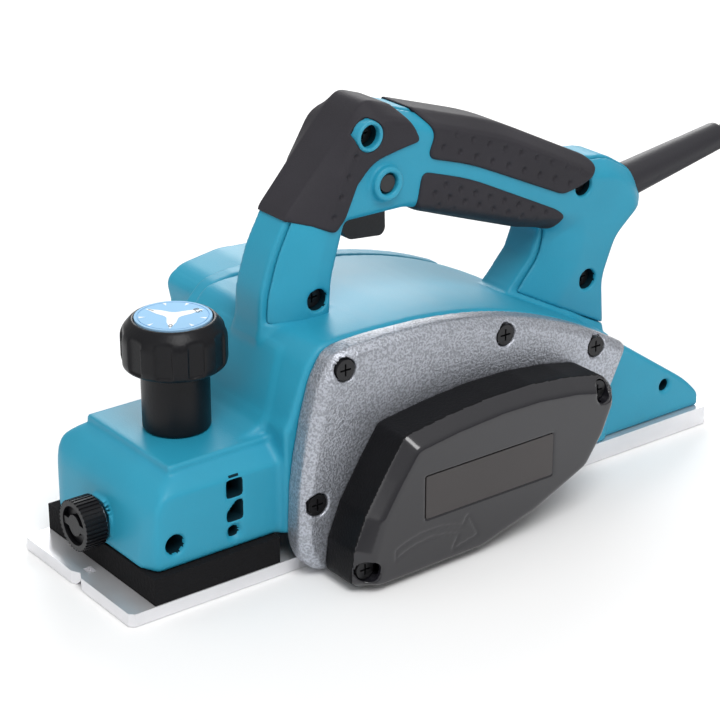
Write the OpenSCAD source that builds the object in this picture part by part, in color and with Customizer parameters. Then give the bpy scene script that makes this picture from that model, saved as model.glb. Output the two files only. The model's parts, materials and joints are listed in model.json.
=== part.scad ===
// Hand-held electric planer, 82 mm cut, with belt drive and a depth knob over the front shoe.
// +X is the direction of travel, +Y the operator's left (belt side), +Z up.
// The origin is the middle of the sole, on the plane of the rear base.

/* [Sole] */
// Length of the sole, front shoe and rear base together
sole_l = 312; // [304:1:320]
// Width of the sole
sole_w = 82; // [80:1:84]
// Thickness of the front shoe's plate
plate_t = 5.5; // [4.5:0.5:6]

/* [Body] */
// Width of the front block and tail of the housing
block_w = 77; // [74:1:78]
// Height of the flat deck under the depth knob
deck_z = 56.7; // [55:0.1:58]
// Height of the crest of the hump
crest_z = 95; // [93:0.5:96]
// Wall thickness of the mouldings
wall = 3; // [2.5:0.5:3]
// Distance from the centre line to the outer face of the belt cover and of the motor housing
side_reach = 76.5; // [75:0.5:78]

/* [Drive] */
// Radius of the circle that the blade edges sweep
cut_r = 26.5; // [26:0.5:27]
// Distance of the drum axis in front of the origin
drum_x = 46; // [45:1:47]
// Distance of the motor axis in front of the origin
motor_x = -29; // [-30:1:-28]
// Height of the motor axis
motor_z = 43; // [42:1:44]
// Outer radius of the drum's pulley
drum_pulley_r = 14.8; // [14.4:0.2:15.2]
// Outer radius of the motor's pulley
motor_pulley_r = 11.2; // [10.8:0.2:11.6]

/* [Depth setting] */
// Distance of the knob's axis in front of the origin
knob_x = 106.7; // [105:0.1:108]
// Radius of the knob
knob_r = 21.2; // [20:0.2:22]
// Height of the knob's top
knob_top = 103.7; // [102:0.1:105]
// Greatest rise of the front shoe
depth_max = 1; // [0.5:0.1:1]

/* [Fence fitting] */
// Radius of the cross bore that takes a guide rod
rod_r = 4.1; // [4:0.1:4.5]
// Distance of the cross bore in front of the origin
rod_x = 132.6; // [132:0.1:133]
// Height of the cross bore
rod_z = 27; // [26.5:0.5:27.5]

/* [Mains lead] */
// Diameter of the cord
cord_d = 8; // [7:0.5:8]
// Middle radius of the stored coil
coil_r = 44; // [44:1:46]

/* [Hidden] */
$fn = 48;
eps = 0.02;

TEAL = "#419fb5";
RUBBER = "#3b3a3f";
BLACK = "#222226";
ALLOY = "#b9bcc1";
STEEL = "#8d9197";
COPPER = "#b8713a";
BRASS = "#c5a24a";

// Half widths
sole_h = sole_w / 2;
block_h = block_w / 2;
hump_h = sole_h;
grip_h = 17.2;
ridge_h = 9;
pad_t = 1.3;

// Levels and stations
tip_x = sole_l / 2;
tail_x = -sole_l / 2;
foam_top = 17;
base_top = 8.7;
crest_x = 45;
tail_start = -88;
tail_slope = 0.68;
drum_z = cut_r;
drum_body_r = cut_r - 1.3;
face_y = sole_h + 11.5;
rim_y = side_reach - 6.5;
cover_in = side_reach - 3;
mouth_r = cut_r + 1.6;
belt_t = 2.2;
belt_y0 = 55.4;
belt_y1 = 65.4;
flange_y = -50;
clear = 0.05;

// Motor stations along Y
stator_r = 31;
core_y0 = -26;
core_y1 = 20;
comm_y0 = -60;
comm_y1 = -46;
brush_y = -53;

// Front block
rib_y = 34;
sleeve_r = 9;
stud_r = 6;
skirt_r = 13.75;
knob_z = 82.8;
pin_y = 27;
pin_x = 98;
pin_r = 4;
deck_front = 127;
deck_rear = 95;
thumb_x0 = 146.5;
thumb_x1 = 155.9;
boss_x = 144.9;
sole_screw_x = [-120, -20];
sole_screw_y = 27;

// Handle
trigger_pivot = [31, 137];
lock_at = [16, 144.3];

// Cord
guard_tilt = 10;
guard_end = [-190, 0, 120];
guard_l = 60;
clamp_x = -108.3;
cord_r = cord_d / 2;
coil_at = [-275, 34];
coil_h = cord_d * (1 + sqrt(3));
// The free stretch from the guard to the top of the coil
lead_route = [[-190, 0, 120], [-200, 0, 121.4], [-210, -0.5, 120.8], [-220, -1, 117.6], [-229, -2, 112],
    [-236, -3.5, 104], [-241, -5, 94], [-245, -7, 83], [-248, -8.5, 72], [-251, -9.5, 61],
    [-254, -10, 50.5], [-258, -10.5, 41], [-264, -11, 33], [-272, -11.5, 27.5], [-281, -11, 24.5]];
// The last stretch from the side of the coil to the plug
tail_route = [[-274.2, -25.6, 5.4], [-277, -27.2, 6], [-280, -28.94, 6.8], [-286, -32.41, 7],
    [-291, -35.3, 7]];
plug_turn = 30;

// Unit vector, and an outline whose corners are softened: each point is [x, z, length cut off the corner]
function unit(v) = v / norm(v);
function at(o, i) = let (p = o[(i + len(o)) % len(o)]) [p[0], p[1]];
function soft(o, n = 4) = [for (i = [0 : len(o) - 1])
    let (c = at(o, i), p = at(o, i - 1), q = at(o, i + 1),
        d = len(o[i]) > 2 ? min(o[i][2], 0.48 * norm(p - c), 0.48 * norm(q - c)) : 0,
        a = c + d * unit(p - c), b = c + d * unit(q - c))
    for (k = [0 : d > 0 ? n : 0]) let (s = d > 0 ? k / n : 0)
        (1 - s) * (1 - s) * a + 2 * s * (1 - s) * c + s * s * b];

// Height of the hump's top at x, and points along it
function hump_z(x) = crest_z - 0.0004615 * pow(abs(crest_x - x), 2.3);
function hump_line(x0, x1, n, drop = 0) = [for (k = [0 : n]) let (x = x0 + (x1 - x0) * k / n)
    [x, hump_z(x) - drop]];

// Prism along Y of an outline in X and Z, and round bars along the axes
module slab(outline, y0, y1) {
    translate([0, y1, 0]) rotate([90, 0, 0]) linear_extrude(height = y1 - y0) polygon(outline);
}
module bar_x(y, z, r, x0, x1) { translate([x0, y, z]) rotate([0, 90, 0]) cylinder(r = r, h = x1 - x0); }
module bar_y(x, z, r, y0, y1) { translate([x, y0, z]) rotate([-90, 0, 0]) cylinder(r = r, h = y1 - y0); }
module bar_z(x, y, r, z0, z1) { translate([x, y, z0]) cylinder(r = r, h = z1 - z0); }
module box(x0, x1, y0, y1, z0, z1) { translate([x0, y0, z0]) cube([x1 - x0, y1 - y0, z1 - z0]); }
// A ring along Y
module ring_y(x, z, ro, ri, y0, y1) {
    difference() {
        bar_y(x, z, ro, y0, y1);
        bar_y(x, z, ri, y0 - 1, y1 + 1);
    }
}
// A cross-head screw along +Z, its head's top at z = 0
module screw(head_r, head_t, shank_r, length) {
    difference() {
        union() {
            translate([0, 0, -head_t]) cylinder(r = head_r, h = head_t);
            translate([0, 0, -length]) cylinder(r = shank_r, h = length - head_t + eps);
        }
        for (a = [0, 90]) rotate(a) translate([-head_r * 0.6, -0.4, -head_t * 0.7])
            cube([head_r * 1.2, 0.8, head_t]);
    }
}
module screw_y(x, y, z, head_r, head_t, shank_r, length) {
    translate([x, y, z]) rotate([-90, 0, 0]) screw(head_r, head_t, shank_r, length);
}

// ---- Outlines in X and Z ----

hump_top = hump_line(56, tail_start, 12);
tail_z = hump_z(tail_start);
body_outline = soft(concat(
    [[145, foam_top, 1.5], [142.5, 41, 5], [136.5, 51.5, 5], [deck_front, deck_z, 3],
        [deck_rear, deck_z, 5],
        [82, 61, 5], [77, 75, 2], [72, 87, 3], [66, 94, 4]],
    hump_top,
    [[-141, tail_z - tail_slope * 53, 6], [-149.5, 15, 3], [-149.5, base_top], [22, base_top],
        [24, foam_top]]));

bracket_outline = soft(concat(
    [[83.4, 13, 7], [82.4, 38], [80.3, 52], [77, 67.4], [72.7, 82.4, 3], [66, 93.6, 5]],
    hump_top,
    [[-90.5, 57, 3], [-80, 35], [-69.6, 17.2], [-64, 10.5, 3], [-50, 6], [-20, 1], [76, 1, 7]]));

cover_rim = soft([[73.3, 4, 3], [71.6, 18], [65.9, 32], [56.5, 47], [46.8, 61, 2], [24, 64.2], [2, 66],
    [-18, 65.8], [-39, 63.5], [-58, 59.5, 4], [-64.5, 51, 3], [-58, 36], [-49, 21, 3], [-19, 8], [9, 1],
    [68, 1, 4]]);
cover_plate = soft([[67, 7, 2], [66, 17], [61.3, 31], [52.4, 45], [44, 56.6, 2], [24, 59.4], [2, 61],
    [-18, 60.8], [-38, 58.5], [-55, 54.5, 2], [-58.5, 49, 2], [-53, 36], [-44.5, 24, 2], [-17, 12],
    [11, 4], [64, 3, 3]]);

// Handle loop at the centre, and where its corners are cut back at the sides
handle_core = soft([[60, 80], [72.3, 88], [71.5, 106, 5], [66.5, 121.5, 5], [58, 137], [26, 171, 5],
    [20, 176.6, 3], [2, 170.8, 6], [-47, 155.5, 12], [-99, 130, 5], [-112, 128.6, 5], [-128, 119, 6],
    [-135.6, 103, 5], [-131, 97, 3], [-119.5, 94, 5], [-110.5, 74, 5], [-112.5, 44], [-70, 60]]);
handle_side = soft([[50, 80], [58, 89], [54, 103, 5], [47, 126.5, 5], [38, 150], [27, 168, 5],
    [14, 169.5, 4], [0, 165, 6], [-49, 149, 12], [-98, 124, 5], [-112, 122, 5], [-122, 114, 5],
    [-126, 104, 4], [-120, 98, 3], [-113, 92, 4], [-106, 74, 5], [-108.5, 44], [-80, 60]]);
finger_core = soft([[42, 70], [42, 94], [41, 108, 4], [34, 131, 2], [5, 130], [-5, 127, 3], [-33, 117],
    [-60, 107.5, 4], [-76, 103.5, 5], [-70, 90], [-59, 78], [-56, 50]]);
finger_side = soft([[42.5, 70], [42.5, 94], [41.5, 109, 4], [35, 131, 2], [5, 131], [-5, 129.5, 3],
    [-33, 120.5], [-60, 112, 4], [-92, 105, 6], [-88.5, 86], [-76, 68], [-76, 50]]);
strut_room = [[49, 82], [66, 84], [65, 106], [58, 124], [30, 160], [22, 150], [38, 126], [47, 108]];
grip_room = [[34, 148], [23, 166], [12, 163], [-50, 144], [-96, 121], [-88, 112.5], [-60, 116],
    [-33, 124.5], [-5, 134.5], [6, 136], [36, 136]];
rear_room = [[-86, 72], [-94, 86], [-101, 100], [-90, 112], [-96, 121], [-113, 119], [-120, 110],
    [-121, 103], [-110, 95], [-103, 77], [-104, 64], [-96, 62]];
// Lower edge of the left cover on the two struts
cover_split = [[80, 97], [57, 90.5], [36, 90.5], [36, 68], [-50, 66], [-50, 80], [-60, 77], [-115, 49],
    [-115, 30], [80, 30]];

// ---- Housings ----

// The handle between two levels of Y, with the finger gap but no inner room
module handle_loop(y0, y1) {
    inner0 = max(y0, -ridge_h);
    inner1 = min(y1, ridge_h);
    if (inner1 > inner0) difference() {
        slab(handle_core, inner0, inner1);
        slab(finger_core, inner0 - 1, inner1 + 1);
    }
    if (y0 < -ridge_h) difference() {
        slab(handle_side, y0, min(y1, -ridge_h + eps));
        slab(finger_side, y0 - 1, -ridge_h + 1);
    }
    if (y1 > ridge_h) difference() {
        slab(handle_side, max(y0, ridge_h - eps), y1);
        slab(finger_side, ridge_h - 1, y1 + 1);
    }
}
// Inner rooms of the handle, less the bosses that take its screws
module handle_rooms(y0, y1) {
    difference() {
        union() {
            if (y0 < ridge_h) slab(strut_room, max(y0, -ridge_h), min(y1, ridge_h + 1));
            slab(grip_room, y0, y1);
            slab(rear_room, y0, y1);
        }
        for (p = handle_screw_at) bar_y(p[0], p[1], 6.2, y0 - 1, y1 + 1);
    }
}
handle_screw_at = [[24, 165], [49.3, 101.5], [-92.5, 120.2], [-97, 76]];

// Front block: bevelled in plan and across, with the tube of the cross bore left standing inside
module block_shape() {
    intersection() {
        slab(body_outline, -block_h, block_h);
        linear_extrude(height = 200)
            polygon([[145, -29], [145, 29], [140.5, block_h], [75, block_h], [75, -block_h],
                [140.5, -block_h]]);
        translate([70, 0, 0]) rotate([90, 0, 90]) linear_extrude(height = 90)
            polygon([[-block_h, 0], [block_h, 0], [block_h, 47.5], [30, deck_z + 0.2], [22, 100],
                [-22, 100],
                [-30, deck_z + 0.2], [-block_h, 47.5]]);
    }
}
module block_room() {
    difference() {
        box(90, 139, -rib_y, rib_y, foam_top - 1, 46);
        box(knob_x - 15, knob_x + 15, -rib_y - 1, rib_y + 1, 34, 47);
        bar_z(knob_x, 0, 14, 10, 50);
        bar_y(rod_x, rod_z, 8, -rib_y - 1, rib_y + 1);
        for (s = [-1, 1]) bar_z(pin_x, s * pin_y, 7.6, 10, 50);
    }
}
module main_housing() {
    color(TEAL) difference() {
        union() {
            block_shape();
            intersection() {
                slab(body_outline, -hump_h, hump_h);
                box(-90, 82, -50, 50, 0, 120);
            }
            intersection() {
                slab(body_outline, -block_h, block_h);
                box(-160, -80, -50, 50, 0, 120);
            }
            handle_loop(-grip_h, ridge_h);
            intersection() {
                handle_loop(ridge_h - 0.5, grip_h);
                translate([0, 0, -0.1]) slab(cover_split, 0, 40);
            }
            bar_x(0, rod_z, 9.8, 140, boss_x);
        }
        // Handle rooms, trigger slot and the parting face of the left cover
        handle_rooms(-grip_h + wall, ridge_h + 1);
        box(4, 35.5, -7, ridge_h + 1, 116, 138);
        bar_y(trigger_pivot[0], trigger_pivot[1], 1.52, -16.2, 20);
        for (p = handle_screw_at) bar_y(p[0], p[1], 1.6, -1, ridge_h + 10);
        // Holes for the screws of the bracket, the motor housing and the sole
        for (p = bracket_screw_at) bar_y(p[0], p[1], 2.15, 33, 50);
        for (p = motor_screw_at) bar_y(p[0], p[1], 2.05, -50, -35.5);
        for (x = sole_screw_x, s = [-1, 1]) bar_z(x, s * sole_screw_y, 2.25, 0, 14);
        // Cutter chamber, chip channel and motor room
        bar_y(drum_x, drum_z, mouth_r, -hump_h - 1, hump_h + 1);
        box(drum_x - 20, drum_x + 20, -hump_h - 1, hump_h + 1, -1, 12);
        box(26, 62, -hump_h - 1, 30, 40, 84);
        bar_y(motor_x, motor_z, stator_r + 1, -hump_h - 1, 35);
        bar_y(motor_x, motor_z, 17, 34, hump_h + 1);
        // Room in the tail and behind the hump's skin
        slab([[-66, base_top + 6], [-130, base_top + 6], [-112, 34], [-84, 54], [-66, 62]],
            -block_h + wall, block_h - wall);
        // Front block: room, knob seat, guide pins, cross bore and clamp screw
        block_room();
        bar_z(knob_x, 0, sleeve_r + 0.1, 30, 60);
        bar_z(knob_x, 0, 13, 10, deck_z - 4.7);
        bar_z(knob_x, 0, skirt_r + 0.6, deck_z + 0.1, 70);
        for (s = [-1, 1]) bar_z(pin_x, s * pin_y, pin_r + clear, 10, 40);
        bar_y(rod_x, rod_z, rod_r, -60, 60);
        for (s = [-1, 1]) translate([rod_x, s * (block_h + eps), rod_z]) rotate([s * 90, 0, 0])
            cylinder(r1 = rod_r + 1.6, r2 = rod_r, h = 1.6);
        bar_x(0, rod_z, 2.6, rod_x, 150);
        bar_x(0, rod_z, 8.3, boss_x - 1.5, 150);
        // Moulded recesses and the tail's stepped hole on the left face
        box(101.5, 108.5, block_h - 5, block_h + 1, 39.5, 47);
        slab([[101.5, 29.5], [108.5, 29.5], [108.5, 33], [104, 37.5], [101.5, 37.5]],
            block_h - 5, block_h + 1);
        bar_y(105.5, 24.3, 3.4, block_h - 2, block_h + 1);
        bar_y(-127, 24.5, 3, block_h - 8, block_h + 1);
        // Cord gland
        on_guard() {
            cylinder(r = 8.7, h = guard_l + 0.05);
            cylinder(r = 7.1, h = 80);
            translate([0, 0, guard_l + 17.9]) cylinder(r = 8.3, h = 4);
        }
    }
    // Shelf under the cord clamp
    color(TEAL) difference() {
        box(clamp_x, clamp_x + 5, -grip_h + wall - 0.5, ridge_h, 95, 100.4);
        clamp_screw_bores(1.52);
    }
}
module clamp_screw_bores(r) { for (s = [-1, 1]) bar_z(clamp_x + 2.5, s * 7, r, 96, 111); }

module handle_left_cover() {
    color(TEAL) difference() {
        union() {
            difference() {
                handle_loop(ridge_h + eps, grip_h);
                slab(cover_split, 0, 40);
                translate([0, 0, 0.1]) slab(body_outline, 0, 40);
            }
            bar_y(lock_at[0], lock_at[1], 7.2, grip_h - 1, grip_h + 3.4);
            bar_y(handle_screw_at[0][0], handle_screw_at[0][1], 6.2, grip_h - 1, grip_h + 1.6);
        }
        handle_rooms(0, grip_h - wall);
        bar_y(trigger_pivot[0], trigger_pivot[1], 1.52, 0, 16.2);
        for (p = handle_screw_at) {
            bar_y(p[0], p[1], 1.9, 0, 30);
            bar_y(p[0], p[1], 4.6, grip_h - 6.6, 30);
        }
        bar_y(lock_at[0], lock_at[1], 4.6, 0, 40);
    }
}

motor_outline = soft(concat([[62, 8, 6], [68, 30], [71, 50], [72, 70], [71, 84, 4], [62, 93, 4]],
    hump_line(50, -60, 10), [[-73, 58, 5], [-73, 43], [-70, 16, 6], [-60, base_top, 2], [20, base_top]]));
motor_screw_at = [[66.9, 62], [-66.5, 55], [-57, 16], [12, 16], [4, 86.5]];
chute_outline = soft([[60, 60, 5], [61, 76], [63, 85, 5], [56, 90.5, 5], [36, 93.5, 3], [14, 92, 5],
    [10, 62, 5]]);
module motor_housing() {
    color(TEAL) difference() {
        union() {
            difference() {
                union() {
                    slab(motor_outline, flange_y, -hump_h - 0.1);
                    slab(chute_outline, -side_reach, flange_y + 1);
                    translate([motor_x, flange_y + 1, motor_z]) rotate([90, 0, 0]) rotate_extrude()
                        polygon([[0, 0], [34.5, 0], [34.5, 20], [31, 25.5], [24, side_reach - 49],
                            [0, side_reach - 49]]);
                }
                bar_y(motor_x, motor_z, stator_r + 0.5, -70.5, 0);
            }
            // Seat of the right armature bearing inside the end wall
            bar_y(motor_x, motor_z, 13.5, -75.5, -66);
        }
        bar_y(motor_x, motor_z, 11.05, -73.05, 0);
        for (p = motor_screw_at) bar_y(p[0], p[1], 2.05, -60, 0);
        // Chip chute, and the seat of the right drum bearing
        box(16, 57, -side_reach - 1, -46, 64.5, 87.5);
        box(27, 55, -46.5, -30, 41, 85);
        bar_y(drum_x, drum_z, 14.05, -49, 0);
        // Brush cap bores and cooling slots
        for (s = [-1, 1]) translate([motor_x, brush_y, motor_z]) rotate([0, s * 90, 0])
            cylinder(r = 6.6, h = 36);
        for (s = [-1, 1], k = [-2 : 2])
            box(motor_x + s * 21 - 6, motor_x + s * 21 + 6, -80, -69, motor_z + k * 6 - 1.3,
                motor_z + k * 6 + 1.3);
    }
}

// ---- Soft grips: each wraps the loop and leaves the bosses free ----

module grip_band(outline) {
    color(RUBBER) difference() {
        slab(soft(outline), -grip_h - pad_t, grip_h + pad_t);
        handle_loop(-grip_h - eps, grip_h + eps);
        slab(finger_side, -40, 40);
        bar_y(lock_at[0], lock_at[1], 7.3, 0, 40);
        bar_y(handle_screw_at[0][0], handle_screw_at[0][1], 6.3, 0, 40);
    }
}
front_pad = [[61, 135], [58, 139], [27, 173.5], [20, 178, 3], [8, 174, 2], [3, 168, 3], [-2, 158, 3],
    [6, 157, 3], [22, 154, 6], [30, 146], [36, 133, 2], [41, 128, 2], [50, 132]];
upper_pad = [[-1, 171.3, 3], [-47, 157, 12], [-98, 132, 3], [-103, 127, 4], [-92, 121, 5],
    [-80, 119, 3], [-28, 143, 10], [-5, 150, 5], [-10, 160, 5]];
lower_pad = [[-3, 145, 4], [-28, 137, 10], [-77, 113, 3], [-82, 109, 3], [-78, 102, 3], [-60, 105.5],
    [-33, 115], [-5, 125, 3], [0, 130, 3]];
module front_grip() { grip_band(front_pad); }
module upper_grip() { grip_band(upper_pad); }
module lower_grip() {
    color(RUBBER) difference() {
        slab(soft(lower_pad), -grip_h - pad_t, grip_h + pad_t);
        handle_loop(-grip_h - eps, grip_h + eps);
        slab([[-90, 90], [-60, 106], [-33, 115.5], [-5, 125.5], [5, 129], [5, 90]], -40, 40);
    }
}

// ---- Belt side ----

bracket_screw_at = [[61.7, 86.6], [75.6, 32.6], [-19.7, 80.8], [-70.6, 62.7]];
cover_screw_at = [[67, 9.5], [-54, 54]];
module side_bracket() {
    color(ALLOY) difference() {
        union() {
            difference() {
                slab(bracket_outline, sole_h + 0.1, face_y);
                translate([0, face_y - wall, 0]) rotate([90, 0, 0]) linear_extrude(height = 20)
                    offset(delta = -4) polygon(bracket_outline);
            }
            bar_y(drum_x, drum_z, 18, sole_h + 0.3, face_y - 1);
            bar_y(motor_x, motor_z, 16.6, sole_h - 5, face_y - 1);
            for (p = bracket_screw_at) bar_y(p[0], p[1], 5.5, sole_h + 0.1, face_y - 1);
            for (p = cover_screw_at) bar_y(p[0], p[1], 4, face_y - 2, face_y + 12);
        }
        bar_y(drum_x, drum_z, 14.05, sole_h, face_y - 2);
        bar_y(drum_x, drum_z, 9, sole_h, face_y + 1);
        bar_y(motor_x, motor_z, 13.05, sole_h - 6, face_y - 2);
        bar_y(motor_x, motor_z, 8, sole_h, face_y + 1);
        for (p = bracket_screw_at) {
            bar_y(p[0], p[1], 2.2, 0, 80);
            bar_y(p[0], p[1], 4.8, face_y - 3, 80);
        }
        for (p = cover_screw_at) bar_y(p[0], p[1], 1.6, face_y, 80);
    }
}
// The outline shrunk towards its middle by one wall
function shrunk(o) = [for (p = o) [(p[0] - 4) * 0.95 + 4, (p[1] - 33) * 0.91 + 33]];
module cover_posts(r, y0, y1) { for (p = cover_screw_at) bar_y(p[0], p[1], r, y0, y1); }
module belt_cover() {
    color(BLACK) difference() {
        union() {
            difference() {
                union() {
                    slab(cover_rim, face_y + 0.1, rim_y);
                    slab(cover_plate, rim_y - 0.1, side_reach);
                }
                slab(shrunk(cover_rim), face_y - 1, rim_y - wall);
                slab(shrunk(cover_plate), rim_y - wall - 0.1, cover_in);
                slab(belt_loop(belt_gap + belt_t + 0.6), face_y - 1, rim_y - wall - 0.5);
            }
            intersection() {
                cover_posts(6.5, face_y + 12.1, rim_y);
                slab(cover_rim, face_y, rim_y);
            }
        }
        cover_posts(4.2, face_y - 1, face_y + 12.2);
        cover_posts(4.4, rim_y - 1, 90);
        cover_posts(1.9, face_y - 1, 90);
        slab([[-26, 25], [41, 25], [41, 44.3], [-26, 44.3]], side_reach - 0.9, side_reach + 1);
    }
}
module cover_badge() {
    color("#453f3f") slab(soft([[-25.6, 25.4, 1], [40.6, 25.4, 1], [40.6, 43.9, 1], [-25.6, 43.9, 1]]),
        side_reach - 0.88, side_reach - 0.1);
}

// Belt: the tangent loop round both pulleys, less the same loop one belt thickness in
belt_gap = 0.06;
function arc(c, r, a0, a1, n) = [for (k = [0 : n]) let (a = a0 + (a1 - a0) * k / n)
    c + r * [cos(a), sin(a)]];
function belt_loop(grow) = let (
    d = [drum_x, drum_z],
    m = [motor_x, motor_z],
    lean = atan2(drum_z - motor_z, drum_x - motor_x),
    up = 90 + asin((drum_pulley_r - motor_pulley_r) / norm(d - m)))
    concat(arc(d, drum_pulley_r + grow, lean - up, lean + up, 32), arc(m, motor_pulley_r + grow,
        lean + up, lean + 360 - up, 24));
module drive_belt() {
    color(BLACK) difference() {
        slab(belt_loop(belt_gap + belt_t), belt_y0 + 0.5, belt_y1 - 0.5);
        slab(belt_loop(belt_gap), belt_y0 - 1, belt_y1 + 1);
    }
}
// A pulley with grooves for a ribbed belt
module ribbed_pulley(x, z, r, bore) {
    ribs = 4;
    pitch = (belt_y1 - belt_y0) / ribs;
    depth = 1.2;
    translate([x, belt_y0, z]) rotate([-90, 0, 0]) rotate_extrude($fn = 64) polygon(concat(
        [[bore, -2], [r - 1, -2], [r, -0.5], [r, 0]],
        [for (k = [0 : ribs - 1]) for (q = [[0, 0.4], [-depth, 1.2], [-depth, 1.4], [0, 2.2]])
            [r + q[0], k * pitch + q[1]]],
        [[r, belt_y1 - belt_y0], [r - 1, belt_y1 - belt_y0 + 1], [bore, belt_y1 - belt_y0 + 1]]));
}
module drum_pulley() { color(ALLOY) ribbed_pulley(drum_x, drum_z, drum_pulley_r, 6.02); }
module drive_pulley() { color(ALLOY) ribbed_pulley(motor_x, motor_z, motor_pulley_r, 4.02); }

// ---- Cutter drum ----

blade_turns = [20, 200];
module drum_turned(a) { translate([drum_x, 0, drum_z]) rotate([0, -a, 0]) children(); }
module cutter_drum() {
    color(ALLOY) difference() {
        union() {
            bar_y(drum_x, drum_z, drum_body_r, -sole_h + 0.4, sole_h - 0.4);
            bar_y(drum_x, drum_z, 8.5, sole_h - 1, sole_h + 1.2);
            bar_y(drum_x, drum_z, 8.5, -sole_h - 1.2, -sole_h + 1);
            bar_y(drum_x, drum_z, 6, -48.9, side_reach - 5);
        }
        for (a = blade_turns) drum_turned(a) box(drum_body_r - 11, drum_body_r + 5, -60, sole_h + 0.2,
            -2, 7);
    }
}
module drum_blades() {
    color(STEEL) for (a = blade_turns) drum_turned(a)
        slab([[drum_body_r - 10, -1.98], [cut_r - 0.5, -1.98], [cut_r - 0.15, -1],
            [drum_body_r - 10, -0.9]],
            -sole_h + 0.5, sole_h - 0.5);
}
module blade_clamps() {
    color(STEEL) for (a = blade_turns) drum_turned(a) difference() {
        slab([[drum_body_r - 10.6, -0.88], [drum_body_r - 0.3, -0.88], [drum_body_r - 1.4, 6.5],
            [drum_body_r - 10.6, 6.5]],
            -sole_h + 1.5, sole_h - 1.5);
        for (k = [-1 : 1]) translate([drum_body_r - 5.5, k * 26, 0]) translate([0, 0, 1.5])
            cylinder(r = 3.4, h = 10);
    }
}
module blade_bolts() {
    color(BLACK) for (a = blade_turns, k = [-1 : 1]) drum_turned(a)
        translate([drum_body_r - 5.5, k * 26, 1.6]) {
            difference() {
                cylinder(r = 3.3, h = 4.2);
                translate([0, 0, 2.4]) cylinder(r = 1.6, h = 3, $fn = 6);
            }
        }
}
module drum_bearings() {
    color(STEEL) {
        bearing(drum_x, drum_z, 14, 6.02, 43, 50.4);
        bearing(drum_x, drum_z, 14, 6.02, -48.8, -43);
    }
}
// A sealed ball bearing along Y: a plain ring with its shield grooves
module bearing(x, z, ro, ri, y0, y1) {
    mid = (ro + ri) / 2;
    half = (ro - ri) * 0.3;
    difference() {
        ring_y(x, z, ro, ri, y0, y1);
        ring_y(x, z, mid + half, mid - half, y1 - 0.5, y1 + 1);
        ring_y(x, z, mid + half, mid - half, y0 - 1, y0 + 0.5);
    }
}

// ---- Motor ----

module armature_bearings() {
    color(STEEL) {
        bearing(motor_x, motor_z, 13, 5.02, 42, 50);
        bearing(motor_x, motor_z, 11, 4.02, -73, -66.5);
    }
}
module stator_core() {
    color(STEEL) difference() {
        bar_y(motor_x, motor_z, stator_r, core_y0, core_y1);
        bar_y(motor_x, motor_z, 19, core_y0 - 1, core_y1 + 1);
        for (s = [-1, 1]) box(motor_x - 25, motor_x + 25, core_y0 - 1, core_y1 + 1,
            motor_z + s * 14 - 6, motor_z + s * 14 + 6);
    }
}
module field_coils() {
    color(COPPER) for (s = [-1, 1]) difference() {
        box(motor_x - 24.5, motor_x + 24.5, core_y0 - 6, core_y1 + 5, motor_z + s * 14 - 5.5,
            motor_z + s * 14 + 5.5);
        bar_y(motor_x, motor_z, 20, core_y0 - 10, core_y1 + 10);
    }
}
module armature_shaft() {
    color(STEEL) {
        bar_y(motor_x, motor_z, 5, -62, 51);
        bar_y(motor_x, motor_z, 4, -72.8, side_reach - 5);
    }
}
module armature_core() {
    color(COPPER) difference() {
        union() {
            bar_y(motor_x, motor_z, 18.2, core_y0 + 1, core_y1 - 1);
            bar_y(motor_x, motor_z, 15.5, core_y0 - 6, core_y1 + 4);
        }
        for (k = [0 : 11]) translate([motor_x, 0, motor_z]) rotate([0, k * 30, 0])
            box(16.2, 20, core_y0 - 0.5, core_y1 + 0.5, -0.9, 0.9);
        bar_y(motor_x, motor_z, 5.02, -60, 60);
    }
}
module commutator() {
    color(COPPER) difference() {
        bar_y(motor_x, motor_z, 11, comm_y0, comm_y1);
        bar_y(motor_x, motor_z, 5.02, -70, 0);
        for (k = [0 : 23]) translate([motor_x, 0, motor_z]) rotate([0, k * 15, 0])
            box(10.2, 12, comm_y0 + 1, comm_y1 - 2, -0.25, 0.25);
    }
}
module cooling_fan() {
    color(BLACK) difference() {
        union() {
            bar_y(motor_x, motor_z, 27, 33, 34.5);
            bar_y(motor_x, motor_z, 9, 27, 34.5);
            for (k = [0 : 10]) translate([motor_x, 0, motor_z]) rotate([0, k * 360 / 11, 0])
                box(8, 26.5, 27, 33.5, -0.8, 0.8);
        }
        bar_y(motor_x, motor_z, 5.02, 0, 60);
    }
}
module brush_holders() {
    color(BRASS) for (s = [-1, 1]) translate([motor_x, brush_y, motor_z]) rotate([0, s * 90, 0])
        difference() {
        box(-4.6, 4.6, -4.6, 4.6, 12, 29.45);
        box(-3.3, 3.3, -3.3, 3.3, 11, 30);
    }
}
module carbon_brushes() {
    color("#3a3a3a") for (s = [-1, 1]) translate([motor_x, brush_y, motor_z]) rotate([0, s * 90, 0])
        box(-3.2, 3.2, -3.2, 3.2, 11.3, 26);
}
module brush_caps() {
    color(BLACK) for (s = [-1, 1]) translate([motor_x, brush_y, motor_z]) rotate([0, s * 90, 0])
        difference() {
        translate([0, 0, 29.5]) cylinder(r = 6.5, h = 5);
        box(-5, 5, -0.7, 0.7, 33, 40);
    }
}

// ---- Base, shoe and depth setting ----

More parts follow.
